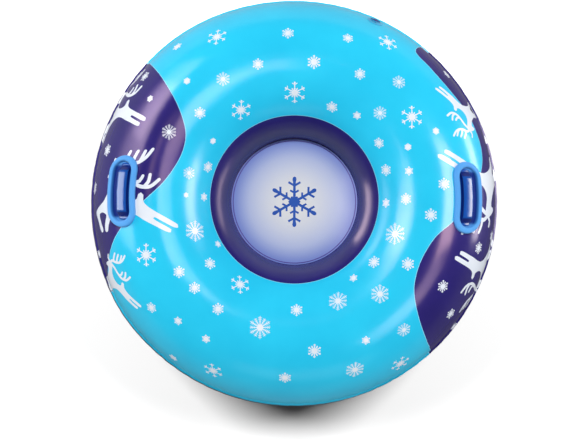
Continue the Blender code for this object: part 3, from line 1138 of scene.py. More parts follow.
@dataclass
class Film:
    """Many cut-outs of one ink, laid side by side as one piece."""

    name: str
    finish: Finish
    ring: Ring
    view: View
    sink: float = 0.00004
    thickness: float = 0.00016

    def __post_init__(self) -> None:
        """Starts with nothing laid."""
        self.points: list[np.ndarray] = []
        self.faces: list[list[int]] = []
        self.count = 0

    def add(self, cutout: Cutout, layers: Sequence[np.ndarray], inside: np.ndarray) -> None:
        """Adds one cut-out as a closed sheet, without what lies past a weld.

        Args:
            cutout: The shape.
            layers: Its corners on the underside and on the top.
            inside: Whether each corner lies between the welds.
        """
        faces = [face for face in cutout.faces if any(inside[index] for index in face)]
        sides = {(face[step - 1], face[step]) for face in faces for step in range(len(face))}
        low, high = self.count, self.count + len(cutout.corners)
        self.points.extend(layers)
        self.faces.extend([[high + index for index in face] for face in faces])
        self.faces.extend([[low + index for index in reversed(face)] for face in faces])
        self.faces.extend([
            [low + first, low + second, high + second, high + first]
            for first, second in sorted(sides) if (second, first) not in sides])
        self.count = high + len(cutout.corners)

    def lay(self, cutout: Cutout, x: float, y: float, size: float, degrees: float = 0.0) -> None:
        """Lays a cut-out on the ring, upright in the view or turned.

        Args:
            cutout: The shape.
            x: The pixel's column at which its middle shows.
            y: The pixel's row.
            size: How many metres one unit of the shape is.
            degrees: How far it is turned, anticlockwise.
        """
        azimuth, turn = self.ring.seen_at(self.view, x, y)
        lean = math.radians(degrees) - azimuth
        right, up = (cutout.corners * size).T
        outward = right * math.cos(lean) - up * math.sin(lean)
        along = right * math.sin(lean) + up * math.cos(lean)
        lifts = (-self.sink, self.thickness)
        length = self.ring.length_at(turn) - outward
        self.add(cutout, [
            self.ring.lay(np.stack((outward, along, np.full(len(right), lift)), 1), azimuth, turn)
            for lift in lifts], (length > -self.ring.rim_width) & (length < self.ring.lengths[-1]))

    def lay_flat(self, cutout: Cutout, height: float, size: float) -> None:
        """Lays a cut-out flat on the middle of the seat.

        Args:
            cutout: The shape.
            height: The height of the seat's face.
            size: How many metres one unit of the shape is.
        """
        right, up = (cutout.corners * size).T
        lifts = (-self.sink, self.thickness)
        layers = [np.stack((right, up, np.full(len(right), height + lift)), 1) for lift in lifts]
        self.add(cutout, layers, np.full(len(right), True))

    def build(self) -> None:
        """Makes the piece and dresses it."""
        mesh = bpy.data.meshes.new(self.name)
        mesh.from_pydata([tuple(point) for layer in self.points for point in layer], [], self.faces)
        item = bpy.data.objects.new(self.name, mesh)
        bpy.context.scene.collection.objects.link(item)
        make_active(item)
        bpy.ops.object.mode_set(mode="EDIT")
        bpy.ops.mesh.select_all(action="SELECT")
        bpy.ops.mesh.delete_loose()
        bpy.ops.object.mode_set(mode="OBJECT")
        smooth(item, PIECE_EDGE)
        dress(item, self.finish)


@dataclass(frozen=True)
class Arm:
    """One arm of a snowflake, in shares of its radius.

    Each branch is its place along the arm, its length and its width, and stands on both sides.
    """

    reach: float
    stem: float
    branches: tuple[tuple[float, float, float], ...] = ()
    tip: float = 0.06
    tip_width: float = 1.0
    blunt: tuple[float, float] = (0.3, 0.75)
    branch_lean: float = 60.0

    def side(self) -> Outline:
        """One side of the arm, from its first branch out to its tip.

        Returns:
            Distances along the arm and away from its middle.
        """
        lean = math.radians(self.branch_lean)
        made = []
        for place, length, width in self.branches:
            low = (place + length * math.cos(lean), self.stem + length * math.sin(lean))
            high = (low[0] + width * math.sin(lean), low[1] - width * math.cos(lean))
            made += [(place, self.stem), low, high, (place + width / math.sin(lean), self.stem)]
        wide = self.stem * self.tip_width
        blunt = (self.reach - self.tip * self.blunt[0], wide * self.blunt[1])
        return [*made, (self.reach - self.tip, wide), blunt, (self.reach, 0.0)]


@dataclass(frozen=True)
class Flake:
    """One kind of snowflake: six arms, with six shorter ones between them, round a core."""

    arm: Arm
    between: Arm
    core: float
    arms: int = 12

    def outline(self) -> Outline:
        """The whole flake, with one arm straight up and a radius of 1.

        Returns:
            Distances to the right and up.
        """
        made = []
        apart = 360 / self.arms
        half = math.radians(apart / 2)
        corner = (self.core * math.cos(half), -self.core * math.sin(half))
        for turn in range(self.arms):
            side = (self.between if turn % 2 else self.arm).side()
            arm = [corner] + [(along, -across) for along, across in side] + side[-2::-1]
            angle = math.radians(apart * turn + 90)
            cos, sin = math.cos(angle), math.sin(angle)
            made += [(along * cos - across * sin, along * sin + across * cos) for along, across in arm]
        return made


class FlakeKind(Enum):
    """The kinds of snowflake in the print."""

    STAR = Flake(
        Arm(1.0, 0.042, ((0.34, 0.06, 0.05), (0.72, 0.24, 0.07)), tip=0.10, tip_width=1.9),
        Arm(0.50, 0.034, ((0.33, 0.05, 0.05),), tip=0.05, tip_width=1.2), 0.26)
    FERN = Flake(
        Arm(1.0, 0.030, ((0.36, 0.07, 0.04), (0.50, 0.11, 0.04), (0.64, 0.15, 0.045), (0.78, 0.16, 0.045))),
        Arm(0.90, 0.026, ((0.44, 0.09, 0.04), (0.58, 0.12, 0.04), (0.72, 0.15, 0.045))), 0.24)
    PETAL = Flake(
        Arm(1.0, 0.060, ((0.52, 0.07, 0.08), (0.74, 0.15, 0.10)), tip=0.10, tip_width=1.5),
        Arm(0.84, 0.055, ((0.54, 0.10, 0.10),), tip=0.10, tip_width=1.5), 0.36)
    BUD = Flake(
        Arm(1.0, 0.080, ((0.66, 0.15, 0.13),), tip=0.14, tip_width=1.6),
        Arm(0.78, 0.070, tip=0.14, tip_width=1.5), 0.42)
    DOT = Flake(Arm(1.0, 0.12, tip=0.2, tip_width=1.3), Arm(0.88, 0.11, tip=0.18, tip_width=1.3), 0.60)
    SEAT = Flake(
        Arm(1.0, 0.050, ((0.34, 0.16, 0.075), (0.62, 0.24, 0.085)), tip=0.10, tip_width=1.6),
        Arm(0.24, 0.04, tip=0.03), 0.20)


@dataclass
class Snowflakes:
    """The snowflakes of the print, by kind: pixel column, pixel row and diameter in millimetres."""

    ring: Ring
    view: View
    star: tuple = (
        (217, 37, 50), (388, 42, 50), (294.7, 92.6, 54), (241, 110, 50), (412, 117, 54), (146, 255, 54),
        (240, 284.5, 48), (213, 371, 48), (400.5, 364, 50))
    fern: tuple = (
        (195, 231, 52), (260, 327.5, 54), (395, 234, 54), (380, 294, 46), (338, 301, 48), (355, 370, 48),
        (169, 132, 38), (189, 173, 31), (399, 82, 34), (380, 113, 34), (404, 330, 36), (223, 79, 35))
    petal: tuple = (
        (288, 33, 31), (314, 62, 34), (258, 64, 28), (145, 76.5, 29), (200, 113, 29), (348, 38, 27),
        (360, 74, 28), (332, 107, 29), (379, 143, 27), (386, 170, 29), (444, 184, 30), (406, 199, 29),
        (431, 215, 32), (208, 167, 27), (107, 150, 32), (179, 272, 29), (210, 263.5, 29), (194.5, 288, 29),
        (151.5, 307.5, 28), (218, 309, 29), (285, 378, 32), (296.6, 310, 31), (374, 262, 31), (408, 264, 32),
        (314.5, 351, 34), (479, 248, 30), (443, 286.5, 31), (451, 314, 29), (94.5, 188, 32))
    bud: tuple = (
        (177.5, 47, 26), (204, 197, 21), (409, 171, 22), (386, 203, 23), (178, 321, 22), (173, 358, 24),
        (206, 339, 22), (353.5, 278, 21), (366, 340.5, 22), (357, 115.5, 21), (447, 74, 26), (486, 140, 24),
        (458, 330, 24), (218, 244, 18), (492, 236, 26), (98, 254, 22))
    dot: tuple = (
        (187, 81, 18), (213, 141, 16), (150, 98.6, 18), (186, 195, 13), (436, 131, 18), (408, 147, 18))
    cell: float = 0.0065
    seat_flake: float = 0.062

    def build(self) -> None:
        """Makes one piece of film for each kind."""
        for kind in FlakeKind:
            name = kind.name.lower()
            if kind is FlakeKind.SEAT:
                continue
            film = Film(f"snowflakes_{name}", Finish.INK, self.ring, self.view)
            for x, y, diameter in getattr(self, name):
                radius = diameter / (2 * MILLIMETRES)
                film.lay(Cutout(name, kind.value.outline(), self.cell / radius), x, y, radius)
            film.build()

    def build_seat_flake(self, height: float) -> None:
        """Makes the blue snowflake in the middle of the seat.

        Args:
            height: The height of the seat's face.
        """
        film = Film("seat_snowflake", Finish.BLUE_INK, self.ring, self.view)
        film.lay_flat(Cutout("seat_flake", FlakeKind.SEAT.value.outline(), 1.0), height, self.seat_flake)
        film.build()


def stroke(points: Outline, start: float, end: float) -> Outline:
    """The outline of a tapering line with a round tip.

    Args:
        points: The line's points.
        start: Its width at the first point.
        end: Its width at the last.

    Returns:
        The outline.
    """
    line = np.array(smooth_line(points, DRAWING_STEP))
    ahead = np.gradient(line, axis=0)
    ahead /= np.linalg.norm(ahead, axis=1)[:, None]
    side = np.stack((-ahead[:, 1], ahead[:, 0]), 1)
    half = np.linspace(start, end, len(line))[:, None] / 2
    left, right = line + side * half, line - side * half
    tip = [
        tuple(line[-1] + ahead[-1] * end * 0.5 * math.cos(angle) + side[-1] * end * 0.5 * math.sin(angle))
        for angle in (math.pi / 4, 0.0, -math.pi / 4)]
    return [tuple(point) for point in left] + tip + [tuple(point) for point in right[::-1]]


@dataclass
class Reindeer:
    """Leaping reindeer of the print, as plain silhouettes, drawn in millimetres."""

    ring: Ring
    view: View
    body: tuple = (
        (-57, 38), (-52, 46), (-40, 54), (-27, 60), (-17, 58), (-11, 48), (-13, 32), (-15, 14), (-8, -4),
        (8, -16), (26, -20), (37, -17), (41, -6), (48, -2), (54, -8), (53, -22), (62, -34), (82, -48),
        (106, -63), (126, -77), (125, -84), (116, -84), (96, -72), (76, -60), (72, -63), (86, -74),
        (108, -89), (105, -96), (95, -94), (72, -80), (50, -67), (34, -56), (14, -47), (-8, -46), (-30, -53),
        (-46, -62), (-57, -76), (-65, -91), (-75, -91), (-73, -76), (-66, -62), (-62, -52), (-78, -45),
        (-95, -50), (-91, -68), (-85, -86), (-91, -93), (-99, -87), (-105, -67), (-115, -48), (-112, -39),
        (-92, -29), (-71, -19), (-58, -6), (-47, 8), (-41, 24), (-44, 33), (-52, 34))
    antlers: tuple = (
        (((-22, 56), (-8, 66), (14, 66), (34, 70), (50, 82), (60, 101)), 10, 8),
        (((0, 67), (1, 81), (6, 97)), 9, 7.5),
        (((19, 67), (21, 82), (26, 97)), 9, 7.5),
        (((37, 72), (41, 84), (44, 97)), 9, 7.5),
        (((-18, 52), (4, 42), (27, 23), (46, 12), (70, 12), (89, 28)), 10, 8),
        (((30, 21), (43, 25), (50, 37)), 9, 7.5),
        (((55, 11), (65, 24), (67, 40)), 9, 7.5),
        (((-27, 58), (-38, 68), (-37, 80)), 8, 7))
    left: tuple = ((120, 105, 0.88, 2), (123, 192, 1.0, 0), (115, 278, 0.66, -8))
    right: tuple = ((464.5, 115, 0.64, 175), (484, 192, 1.0, 180), (480, 275.5, 0.85, 186))
    cell: float = 0.0065
    tine_step: float = 0.00001

    def build(self) -> None:
        """Makes one piece of film for each side: pixel column, pixel row, size and turn."""
        for side, places in (("left", self.left), ("right", self.right)):
            film = Film(f"reindeer_{side}", Finish.INK, self.ring, self.view)
            for x, y, size, degrees in places:
                outlines = [smooth_line(self.body, DRAWING_STEP, True)]
                outlines += [stroke(points, start, end) for points, start, end in self.antlers]
                scale = size / MILLIMETRES
                for layer, outline in enumerate(outlines):
                    film.thickness = Film.thickness + self.tine_step * layer
                    film.lay(Cutout("deer", outline, self.cell / scale), x, y, scale, degrees)
            film.build()


@dataclass
class Handle:
    """A moulded grab handle: an oval tray with a round rim, and a bar that arches over it.

    The groove is how far in from the rim its floor and its end lie. Least and power shape the height and
    the width of a bar's tip. The tray and the bar get painted shade in deep blue: in the tray's hollow, set
    in from the rim, with painted light on the plate's ends; and on the bar's ramps, by distance from its
    middle, and along its sides, where it starts across the bar and how fast it comes.
    """

    ring: Ring
    side: str
    azimuth: float
    turn: float
    length: float = 0.170
    width: float = 0.080
    gap: float = 0.0004
    wall: float = 0.0026
    rim_width: float = 0.0150
    rim_height: float = 0.0085
    rim_roundness: float = 3.6
    plate: float = 0.0015
    groove: tuple[float, float] = (0.0012, 0.0026)
    groove_depth: float = 0.0003
    # Painted shade in the tray: where it starts in from the rim and how fast it comes, and the plate's ends,
    # which get painted light.
    shade_start: float = 0.80
    shade_fade: float = 0.25
    lit_plate_ends: tuple[float, float] = (0.059, 0.064)
    end_shade_share: float = 0.3
    bar_width: float = 0.027
    bar_thickness: float = 0.0075
    bar_under: float = 0.0070
    bar_inward: float = 0.0090
    bar_straight: float = 0.097
    bar_ramp: float = 0.013
    foot_height: float = 0.003
    bar_length: float = 0.1336
    bar_lift: float = 0.0003
    bar_station: float = 0.6
    ramp_lead: float = 0.006
    ramp_rise: float = 1.25
    tip_least: tuple[float, float] = (0.12, 0.02)
    tip_power: tuple[float, float] = (0.5, 0.4)
    bar_squareness: float = 0.72
    # Painted shade on the bar: along it on the ramps, and across it on the sides.
    ramp_shade_band: tuple[float, ...] = (0.047, 0.050, 0.059, 0.062)
    side_shade: tuple[float, float] = (0.90, 0.08)
    around: int = 112
    bar_around: int = 36
    base_steps: int = 8
    rim_steps: int = 16
    plate_steps: int = 5
    ramp_steps: int = 12
    tip_steps: int = 8

    def tray_rows(self) -> Outline:
        """The tray's section, from the middle of its underside round its rim to the middle of its plate.

        Returns:
            Distances in from the outer wall and heights over the skin.
        """
        radius = self.width / 2
        face = self.gap + self.plate
        base = [(radius - radius * step / self.base_steps, self.gap) for step in range(self.base_steps)]
        arch = []
        for step in range(self.rim_steps + 1):
            share = -math.cos(math.pi * step / self.rim_steps)
            crown = (1 - abs(share) ** self.rim_roundness) ** 0.5
            low = self.gap + (self.wall if share < 0 else self.plate)
            arch.append((self.rim_width * (1 + share) / 2, low + (self.gap + self.rim_height - low) * crown))
        foot, end = (self.rim_width + away for away in self.groove)
        inner = radius - end
        steps = self.plate_steps
        plate = [(radius - inner * (1 - step / steps), face) for step in range(1, steps + 1)]
        return [
            *base, (0.0, self.gap), (0.0, self.gap + self.wall / 2), *arch,
            (foot, face - self.groove_depth), (end, face), *plate]

    def oval(self, column: np.ndarray, radius: np.ndarray) -> tuple[np.ndarray, np.ndarray]:
        """A point of an oval of straight sides and round ends.

        Args:
            column: The point's number along the oval.
            radius: Radius of the round ends.

        Returns:
            Distances outward and round the ring.
        """
        straight = self.length - self.width
        quarter = self.around // 4
        side_steps = quarter // 2
        arc_steps = (self.around - 2 * side_steps) // 2
        position = column % self.around
        half = position // (side_steps + arc_steps)
        within = position % (side_steps + arc_steps)
        sign = 1 - 2 * half
        on_side = within < side_steps
        angle = math.pi * np.clip(within - side_steps, 0, None) / arc_steps
        outward = np.where(on_side, radius, radius * np.cos(angle))
        level = straight * (within / side_steps - 0.5)
        along = np.where(on_side, level, straight / 2 + radius * np.sin(angle))
        return outward * sign, along * sign

    def build_tray(self) -> None:
        """Makes and dresses the tray."""
        rows = np.array(self.tray_rows())
        item, column, row = add_grid(f"{self.side}_handle_tray", self.around, len(rows) - 1)
        inset, height = rows[row].T
        outward, along = self.oval(column, self.width / 2 - inset)
        self.ring.wrap(item, np.stack((outward, along, height), axis=1), self.azimuth, self.turn)
        # Painted shade in the tray's hollow, with painted light at the plate's ends.
        depth = np.clip((inset - self.rim_width * self.shade_start) / (self.rim_width * self.shade_fade), 0, 1)
        add_layer(item, "depth", depth * np.interp(np.abs(along), self.lit_plate_ends, (1.0, self.end_shade_share)))
        mend(item)
        smooth(item, ROUND_EDGE)
        dress(item, Finish.TRAY, stands_for=[f"{self.side}_handle_base"])

    def bar_stations(self) -> np.ndarray:
        """Stations along half of the bar, over its straight part, down its ramp and round its tip.

        Returns:
            Rows of distance from the bar's middle, height of its underside and top, and half its width.
        """
        floor = self.gap + self.plate + self.bar_lift
        shoulder = self.bar_straight / 2
        end = shoulder + self.bar_ramp
        tip = self.bar_length / 2
        top = self.bar_under + self.bar_thickness
        foot = floor + self.foot_height
        half = self.bar_width / 2
        stations = [(place, self.bar_under, top, half) for place in (0.0, shoulder * self.bar_station)]
        for step in range(self.ramp_steps + 1):
            share = step / self.ramp_steps
            ease = (1 - math.cos(math.pi * share)) / 2
            place = shoulder - self.ramp_lead + (end - shoulder + self.ramp_lead) * share
            under = self.bar_under + (floor - self.bar_under) * min(1, ease * self.ramp_rise)
            stations.append((place, under, top + (foot - top) * ease, half))
        for step in range(1, self.tip_steps + 1):
            angle = math.pi / 2 * step / self.tip_steps
            high, wide = (
                max(math.cos(angle), least) ** power for least, power in zip(self.tip_least, self.tip_power))
            place = end + (tip - end) * math.sin(angle)
            stations.append((place, floor, floor + self.foot_height * high, half * wide))
        return np.array(stations)

    def build_bar(self) -> None:
        """Makes and dresses the bar."""
        half = self.bar_stations()
        mirrored = half[:0:-1] * np.array((-1, 1, 1, 1))
        stations = np.concatenate((mirrored, half))
        closed = np.concatenate((stations[:1], stations, stations[-1:]))
        item, column, row = add_grid(f"{self.side}_handle_bar", self.bar_around, len(closed) - 1)
        place, under, top, width = closed[row].T
        angle = 2 * math.pi * column / self.bar_around
        capped = (row == 0) | (row == len(closed) - 1)
        across, up = (
            np.where(capped, 0, np.sign(wave) * np.abs(wave) ** self.bar_squareness)
            for wave in (np.cos(angle), np.sin(angle)))
        height = (under + top) / 2 + (top - under) / 2 * up
        flat = np.stack((width * across - self.bar_inward, place, height), axis=1)
        self.ring.wrap(item, flat, self.azimuth, self.turn)
        # Painted shade on the bar's ramps and along its sides.
        depth = np.interp(np.abs(place), self.ramp_shade_band, (0.0, 1.0, 1.0, 0.0))
        start, fade = self.side_shade
        add_layer(item, "depth", np.maximum(depth, np.clip((np.abs(across) - start) / fade, 0, 1)))
        mend(item)
        smooth(item, ROUND_EDGE)
        dress(item, Finish.BAR, stands_for=[f"{self.side}_handle_grip"])


@dataclass
class Valve:
    """The stem valve: a flange on the skin, the stem, its plug on a strap, and the flap inside.

    The flange's edge is how far in its slope reaches, and the share of its height where that starts. The
    dish in the plug is the radius of its floor and of its brim, and its depth. The tab is its width, its
    length past the plug and its thickness.
    """

    ring: Ring
    azimuth: float = 66.0
    turn: float = 26.0
    around: int = 48
    flange_radius: float = 0.019
    flange_sheet: float = 0.0008
    flange_edge: tuple[float, float] = (0.0006, 0.75)
    flange_groove: tuple[float, ...] = (0.003, 0.0034, 0.0042, 0.0046)
    flange_groove_depth: float = 0.0002
    flange_face: float = 0.002
    base_gap: float = 0.0004
    gap: float = 0.0003
    hole_gap: float = 0.0005
    stem_radius: float = 0.0075
    stem_bore: float = 0.0052
    stem_depth: float = 0.0160
    collar_radius: float = 0.0095
    collar: float = 0.0012
    lip_radius: float = 0.0090
    lip: float = 0.0012
    ear_width: float = 0.0070
    ear_root: float = 0.001
    ear_end: float = 0.0012
    seat: float = 0.001
    seat_bore: float = 0.0040
    chamber_radius: float = 0.0061
    chamber_depth: float = 0.0040
    plug_radius: float = 0.0075
    plug: float = 0.0016
    dish: tuple[float, float, float] = (0.0035, 0.0043, 0.0003)
    spigot: float = 0.0040
    spigot_radius: tuple[float, float] = (0.0046, 0.0034)
    tab: tuple[float, float, float] = (0.006, 0.004, 0.0008)
    tab_root: float = 0.001
    strap_length: float = 0.0044
    strap_width: float = 0.0050
    strap: float = 0.0010
    strap_rounding: float = 0.46
    strap_rounding_steps: int = 4
    rounding: float = 0.00022
    rounding_steps: int = 2
    flap_radius: float = 0.0050
    flap: float = 0.0008

    def __post_init__(self) -> None:
        """Takes the valve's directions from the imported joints."""
        joints = {joint["name"]: joint for joint in frame["joints"]}
        self.out = Vector(joints["stem_slide"]["axis"]).normalized()
        self.across = -Vector(joints["strap_fold"]["axis"]).normalized()
        self.along = self.out.cross(self.across)
        radius, height = self.ring.section(np.array(math.radians(self.turn)))
        azimuth = math.radians(self.azimuth)
        self.origin = Vector((radius * math.cos(azimuth), radius * math.sin(azimuth), float(height)))
        self.flange_top = self.base_gap + self.flange_sheet
        self.collar_top = self.flange_top + self.gap + self.collar
        self.plug_under = self.collar_top + self.gap

    def stand(self, item: bpy.types.Object) -> None:
        """Moves a shape from the valve's own axes to its place on the ring.

        Args:
            item: The shape.
        """
        points = mesh_points(item)
        axes = np.array((self.across, self.along, self.out))
        set_points(item, points @ axes + np.array(self.origin))

    def turned(self, name: str, section: Outline) -> bpy.types.Object:
        """A piece turned about the valve's axis, not yet in place, from a section without its last point."""
        return turned(name, self.around, [*section, section[0]])

    def finish_piece(
            self, item: bpy.types.Object, finish: Finish, body: str, node: str, width: float = 0.0,
            steps: int = 0) -> None:
        """Rounds a piece's edges, puts it in place and dresses it.

        Args:
            item: The piece, in the valve's own axes.
            finish: Its finish.
            body: The body that it moves with.
            node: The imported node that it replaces.
            width: The width of its rounding, where it isn't the usual one.
            steps: The faces in its rounding, where there aren't the usual number.
        """
        round_edges(item, width or self.rounding, steps or self.rounding_steps, SHEET_EDGE)
        self.stand(item)
        smooth(item, PIECE_EDGE)
        dress(item, finish, body, [node])

    def join_box(self, item: bpy.types.Object, low: Sequence[float], high: Sequence[float]) -> None:
        """Joins a small box to a piece.

        Args:
            item: The piece, in the valve's own axes.
            low: The box's lowest corner.
            high: Its highest corner.
        """
        deselect_all()
        middle = [(a + b) / 2 for a, b in zip(low, high)]
        bpy.ops.mesh.primitive_cube_add(size=1, location=middle, scale=[b - a for a, b in zip(low, high)])
        combine(item, "UNION", settle(bpy.context.object, "tool"))

    def open_skin(self) -> None:
        """Cuts the hole in the printed skin that the stem and its inner lip slide in."""
        deselect_all()
        bpy.ops.mesh.primitive_cylinder_add(
            vertices=self.around, radius=self.lip_radius + self.hole_gap, depth=self.stem_depth)
        cutter = settle(bpy.context.object, "tool")
        self.stand(cutter)
        combine(bpy.data.objects["tube_top"], "DIFFERENCE", cutter)

    def build_flange(self) -> None:
        """Makes the round patch, which follows the skin."""
        hole = self.stem_radius + self.hole_gap
        top, low, outer = self.flange_top, self.base_gap, self.flange_radius
        inset, share = self.flange_edge
        steps = (top, top - self.flange_groove_depth, top - self.flange_groove_depth, top)
        item = self.turned("valve_patch", [
            (hole, low), (outer, low), (outer, top * share), (outer - inset, top),
            *((outer - away, height) for away, height in zip(self.flange_groove, steps)),
            (hole + self.flange_face, top), (hole, top)])
        self.ring.wrap(item, mesh_points(item), self.azimuth, self.turn)
        smooth(item, PIECE_EDGE)
        dress(item, Finish.VALVE, TUBE_BODY, ["valve_flange"])

    def build_stem(self) -> None:
        """Makes the sliding stem with its collar, its inner lip and its ear."""
        under = self.flange_top + self.gap
        top, foot = self.collar_top, -self.stem_depth
        lip = self.lip - self.stem_depth
        chamber = self.chamber_depth - self.stem_depth
        seat = chamber + self.seat
        item = self.turned("valve_stem_tube", [
            (self.stem_bore, top), (self.collar_radius, top), (self.collar_radius, under),
            (self.stem_radius, under), (self.stem_radius, lip), (self.lip_radius, lip),
            (self.lip_radius, foot), (self.chamber_radius, foot), (self.chamber_radius, chamber),
            (self.seat_bore, chamber), (self.seat_bore, seat), (self.stem_bore, seat)])
        side = self.ear_width / 2
        end = self.plug_radius + self.gap + self.strap_length + self.ear_end
        self.join_box(item, (-side, self.collar_radius - self.ear_root, under), (side, end, top))
        self.finish_piece(item, Finish.VALVE, "stem", "valve_stem")

    def build_plug(self) -> None:
        """Makes the plug with its spigot and pull tab."""
        top, under = self.plug_under + self.plug, self.plug_under
        floor, brim, sunk = self.dish
        root, end = self.spigot_radius
        item = self.turned("valve_cap", [
            (0.0, top - sunk), (floor, top - sunk), (brim, top), (self.plug_radius, top),
            (self.plug_radius, under), (root, under), (end, under - self.spigot), (0.0, under - self.spigot)])
        middle = (top + under) / 2
        wide, long, thick = self.tab
        self.join_box(
            item, (-wide / 2, -self.plug_radius - long, middle - thick / 2),
            (wide / 2, self.tab_root - self.plug_radius, middle + thick / 2))
        self.finish_piece(item, Finish.PLUG, "plug", "valve_plug")

    def build_strap(self) -> None:
        """Makes the strap between the plug and the stem's ear."""
        deselect_all()
        near = self.plug_radius + self.gap
        bpy.ops.mesh.primitive_cube_add(
            size=1, location=(0, near + self.strap_length / 2, self.plug_under + self.strap / 2),
            scale=(self.strap_width, self.strap_length, self.strap))
        item = settle(bpy.context.object, "valve_strap")
        self.finish_piece(
            item, Finish.PLUG, "strap", "plug_strap", self.strap * self.strap_rounding,
            self.strap_rounding_steps)

    def build_flap(self) -> None:
        """Makes the check flap inside the stem."""
        deselect_all()
        height = self.chamber_depth - self.stem_depth - self.gap - self.flap / 2
        bpy.ops.mesh.primitive_cylinder_add(
            vertices=self.around, radius=self.flap_radius, depth=self.flap, location=(0, 0, height))
        item = settle(bpy.context.object, "valve_check_flap")
        self.finish_piece(item, Finish.PLUG, "flap", "valve_flap")

    def build(self) -> None:
        """Makes all five pieces and the hole that they stand in."""
        self.open_skin()
        self.build_flange()
        self.build_stem()
        self.build_plug()
        self.build_strap()
        self.build_flap()


class LampUse(Enum):
    """What a lamp lights: the surfaces' colour, or only their gloss."""

    MATTE = "matte"
    GLOSS = "gloss"


class Reach(Enum):
    """Which things a lamp lights."""

    FLOOR = "floor"
    TUBE = "tube"
    SKIN = "skin"
    SEAT = "seat"
    LEFT_BAR = "left_bar"
    RIGHT_BAR = "right_bar"


@dataclass(frozen=True)
class Lamp:
    """A soft box: its place, what it faces, its width and height in metres, and its power in watts."""

    name: str
    place: Place
    target: Place
    size: tuple[float, float]
    power: float
    use: LampUse
    reach: Reach
    tint: Colour = (1.0, 1.0, 1.0)
    spread: float = 180.0

    def build(self, receivers: dict[Reach, bpy.types.Collection]) -> None:
        """Adds the lamp.

        Args:
            receivers: The things that each reach lights.
        """
        deselect_all()
        bpy.ops.object.light_add(type="AREA", location=self.place)
        lamp = bpy.context.object
        lamp.name = self.name
        lamp.data.shape = "RECTANGLE"
        lamp.data.size, lamp.data.size_y = self.size
        lamp.data.energy = self.power
        lamp.data.color = self.tint
        lamp.data.spread = math.radians(self.spread)
        lamp.visible_glossy = self.use is LampUse.GLOSS
        lamp.visible_diffuse = self.use is LampUse.MATTE
        lamp.visible_camera = False
        lamp.rotation_mode = "QUATERNION"
        lamp.rotation_quaternion = (Vector(self.target) - Vector(self.place)).to_track_quat("-Z", "Y")
        lamp.light_linking.receiver_collection = receivers[self.reach]


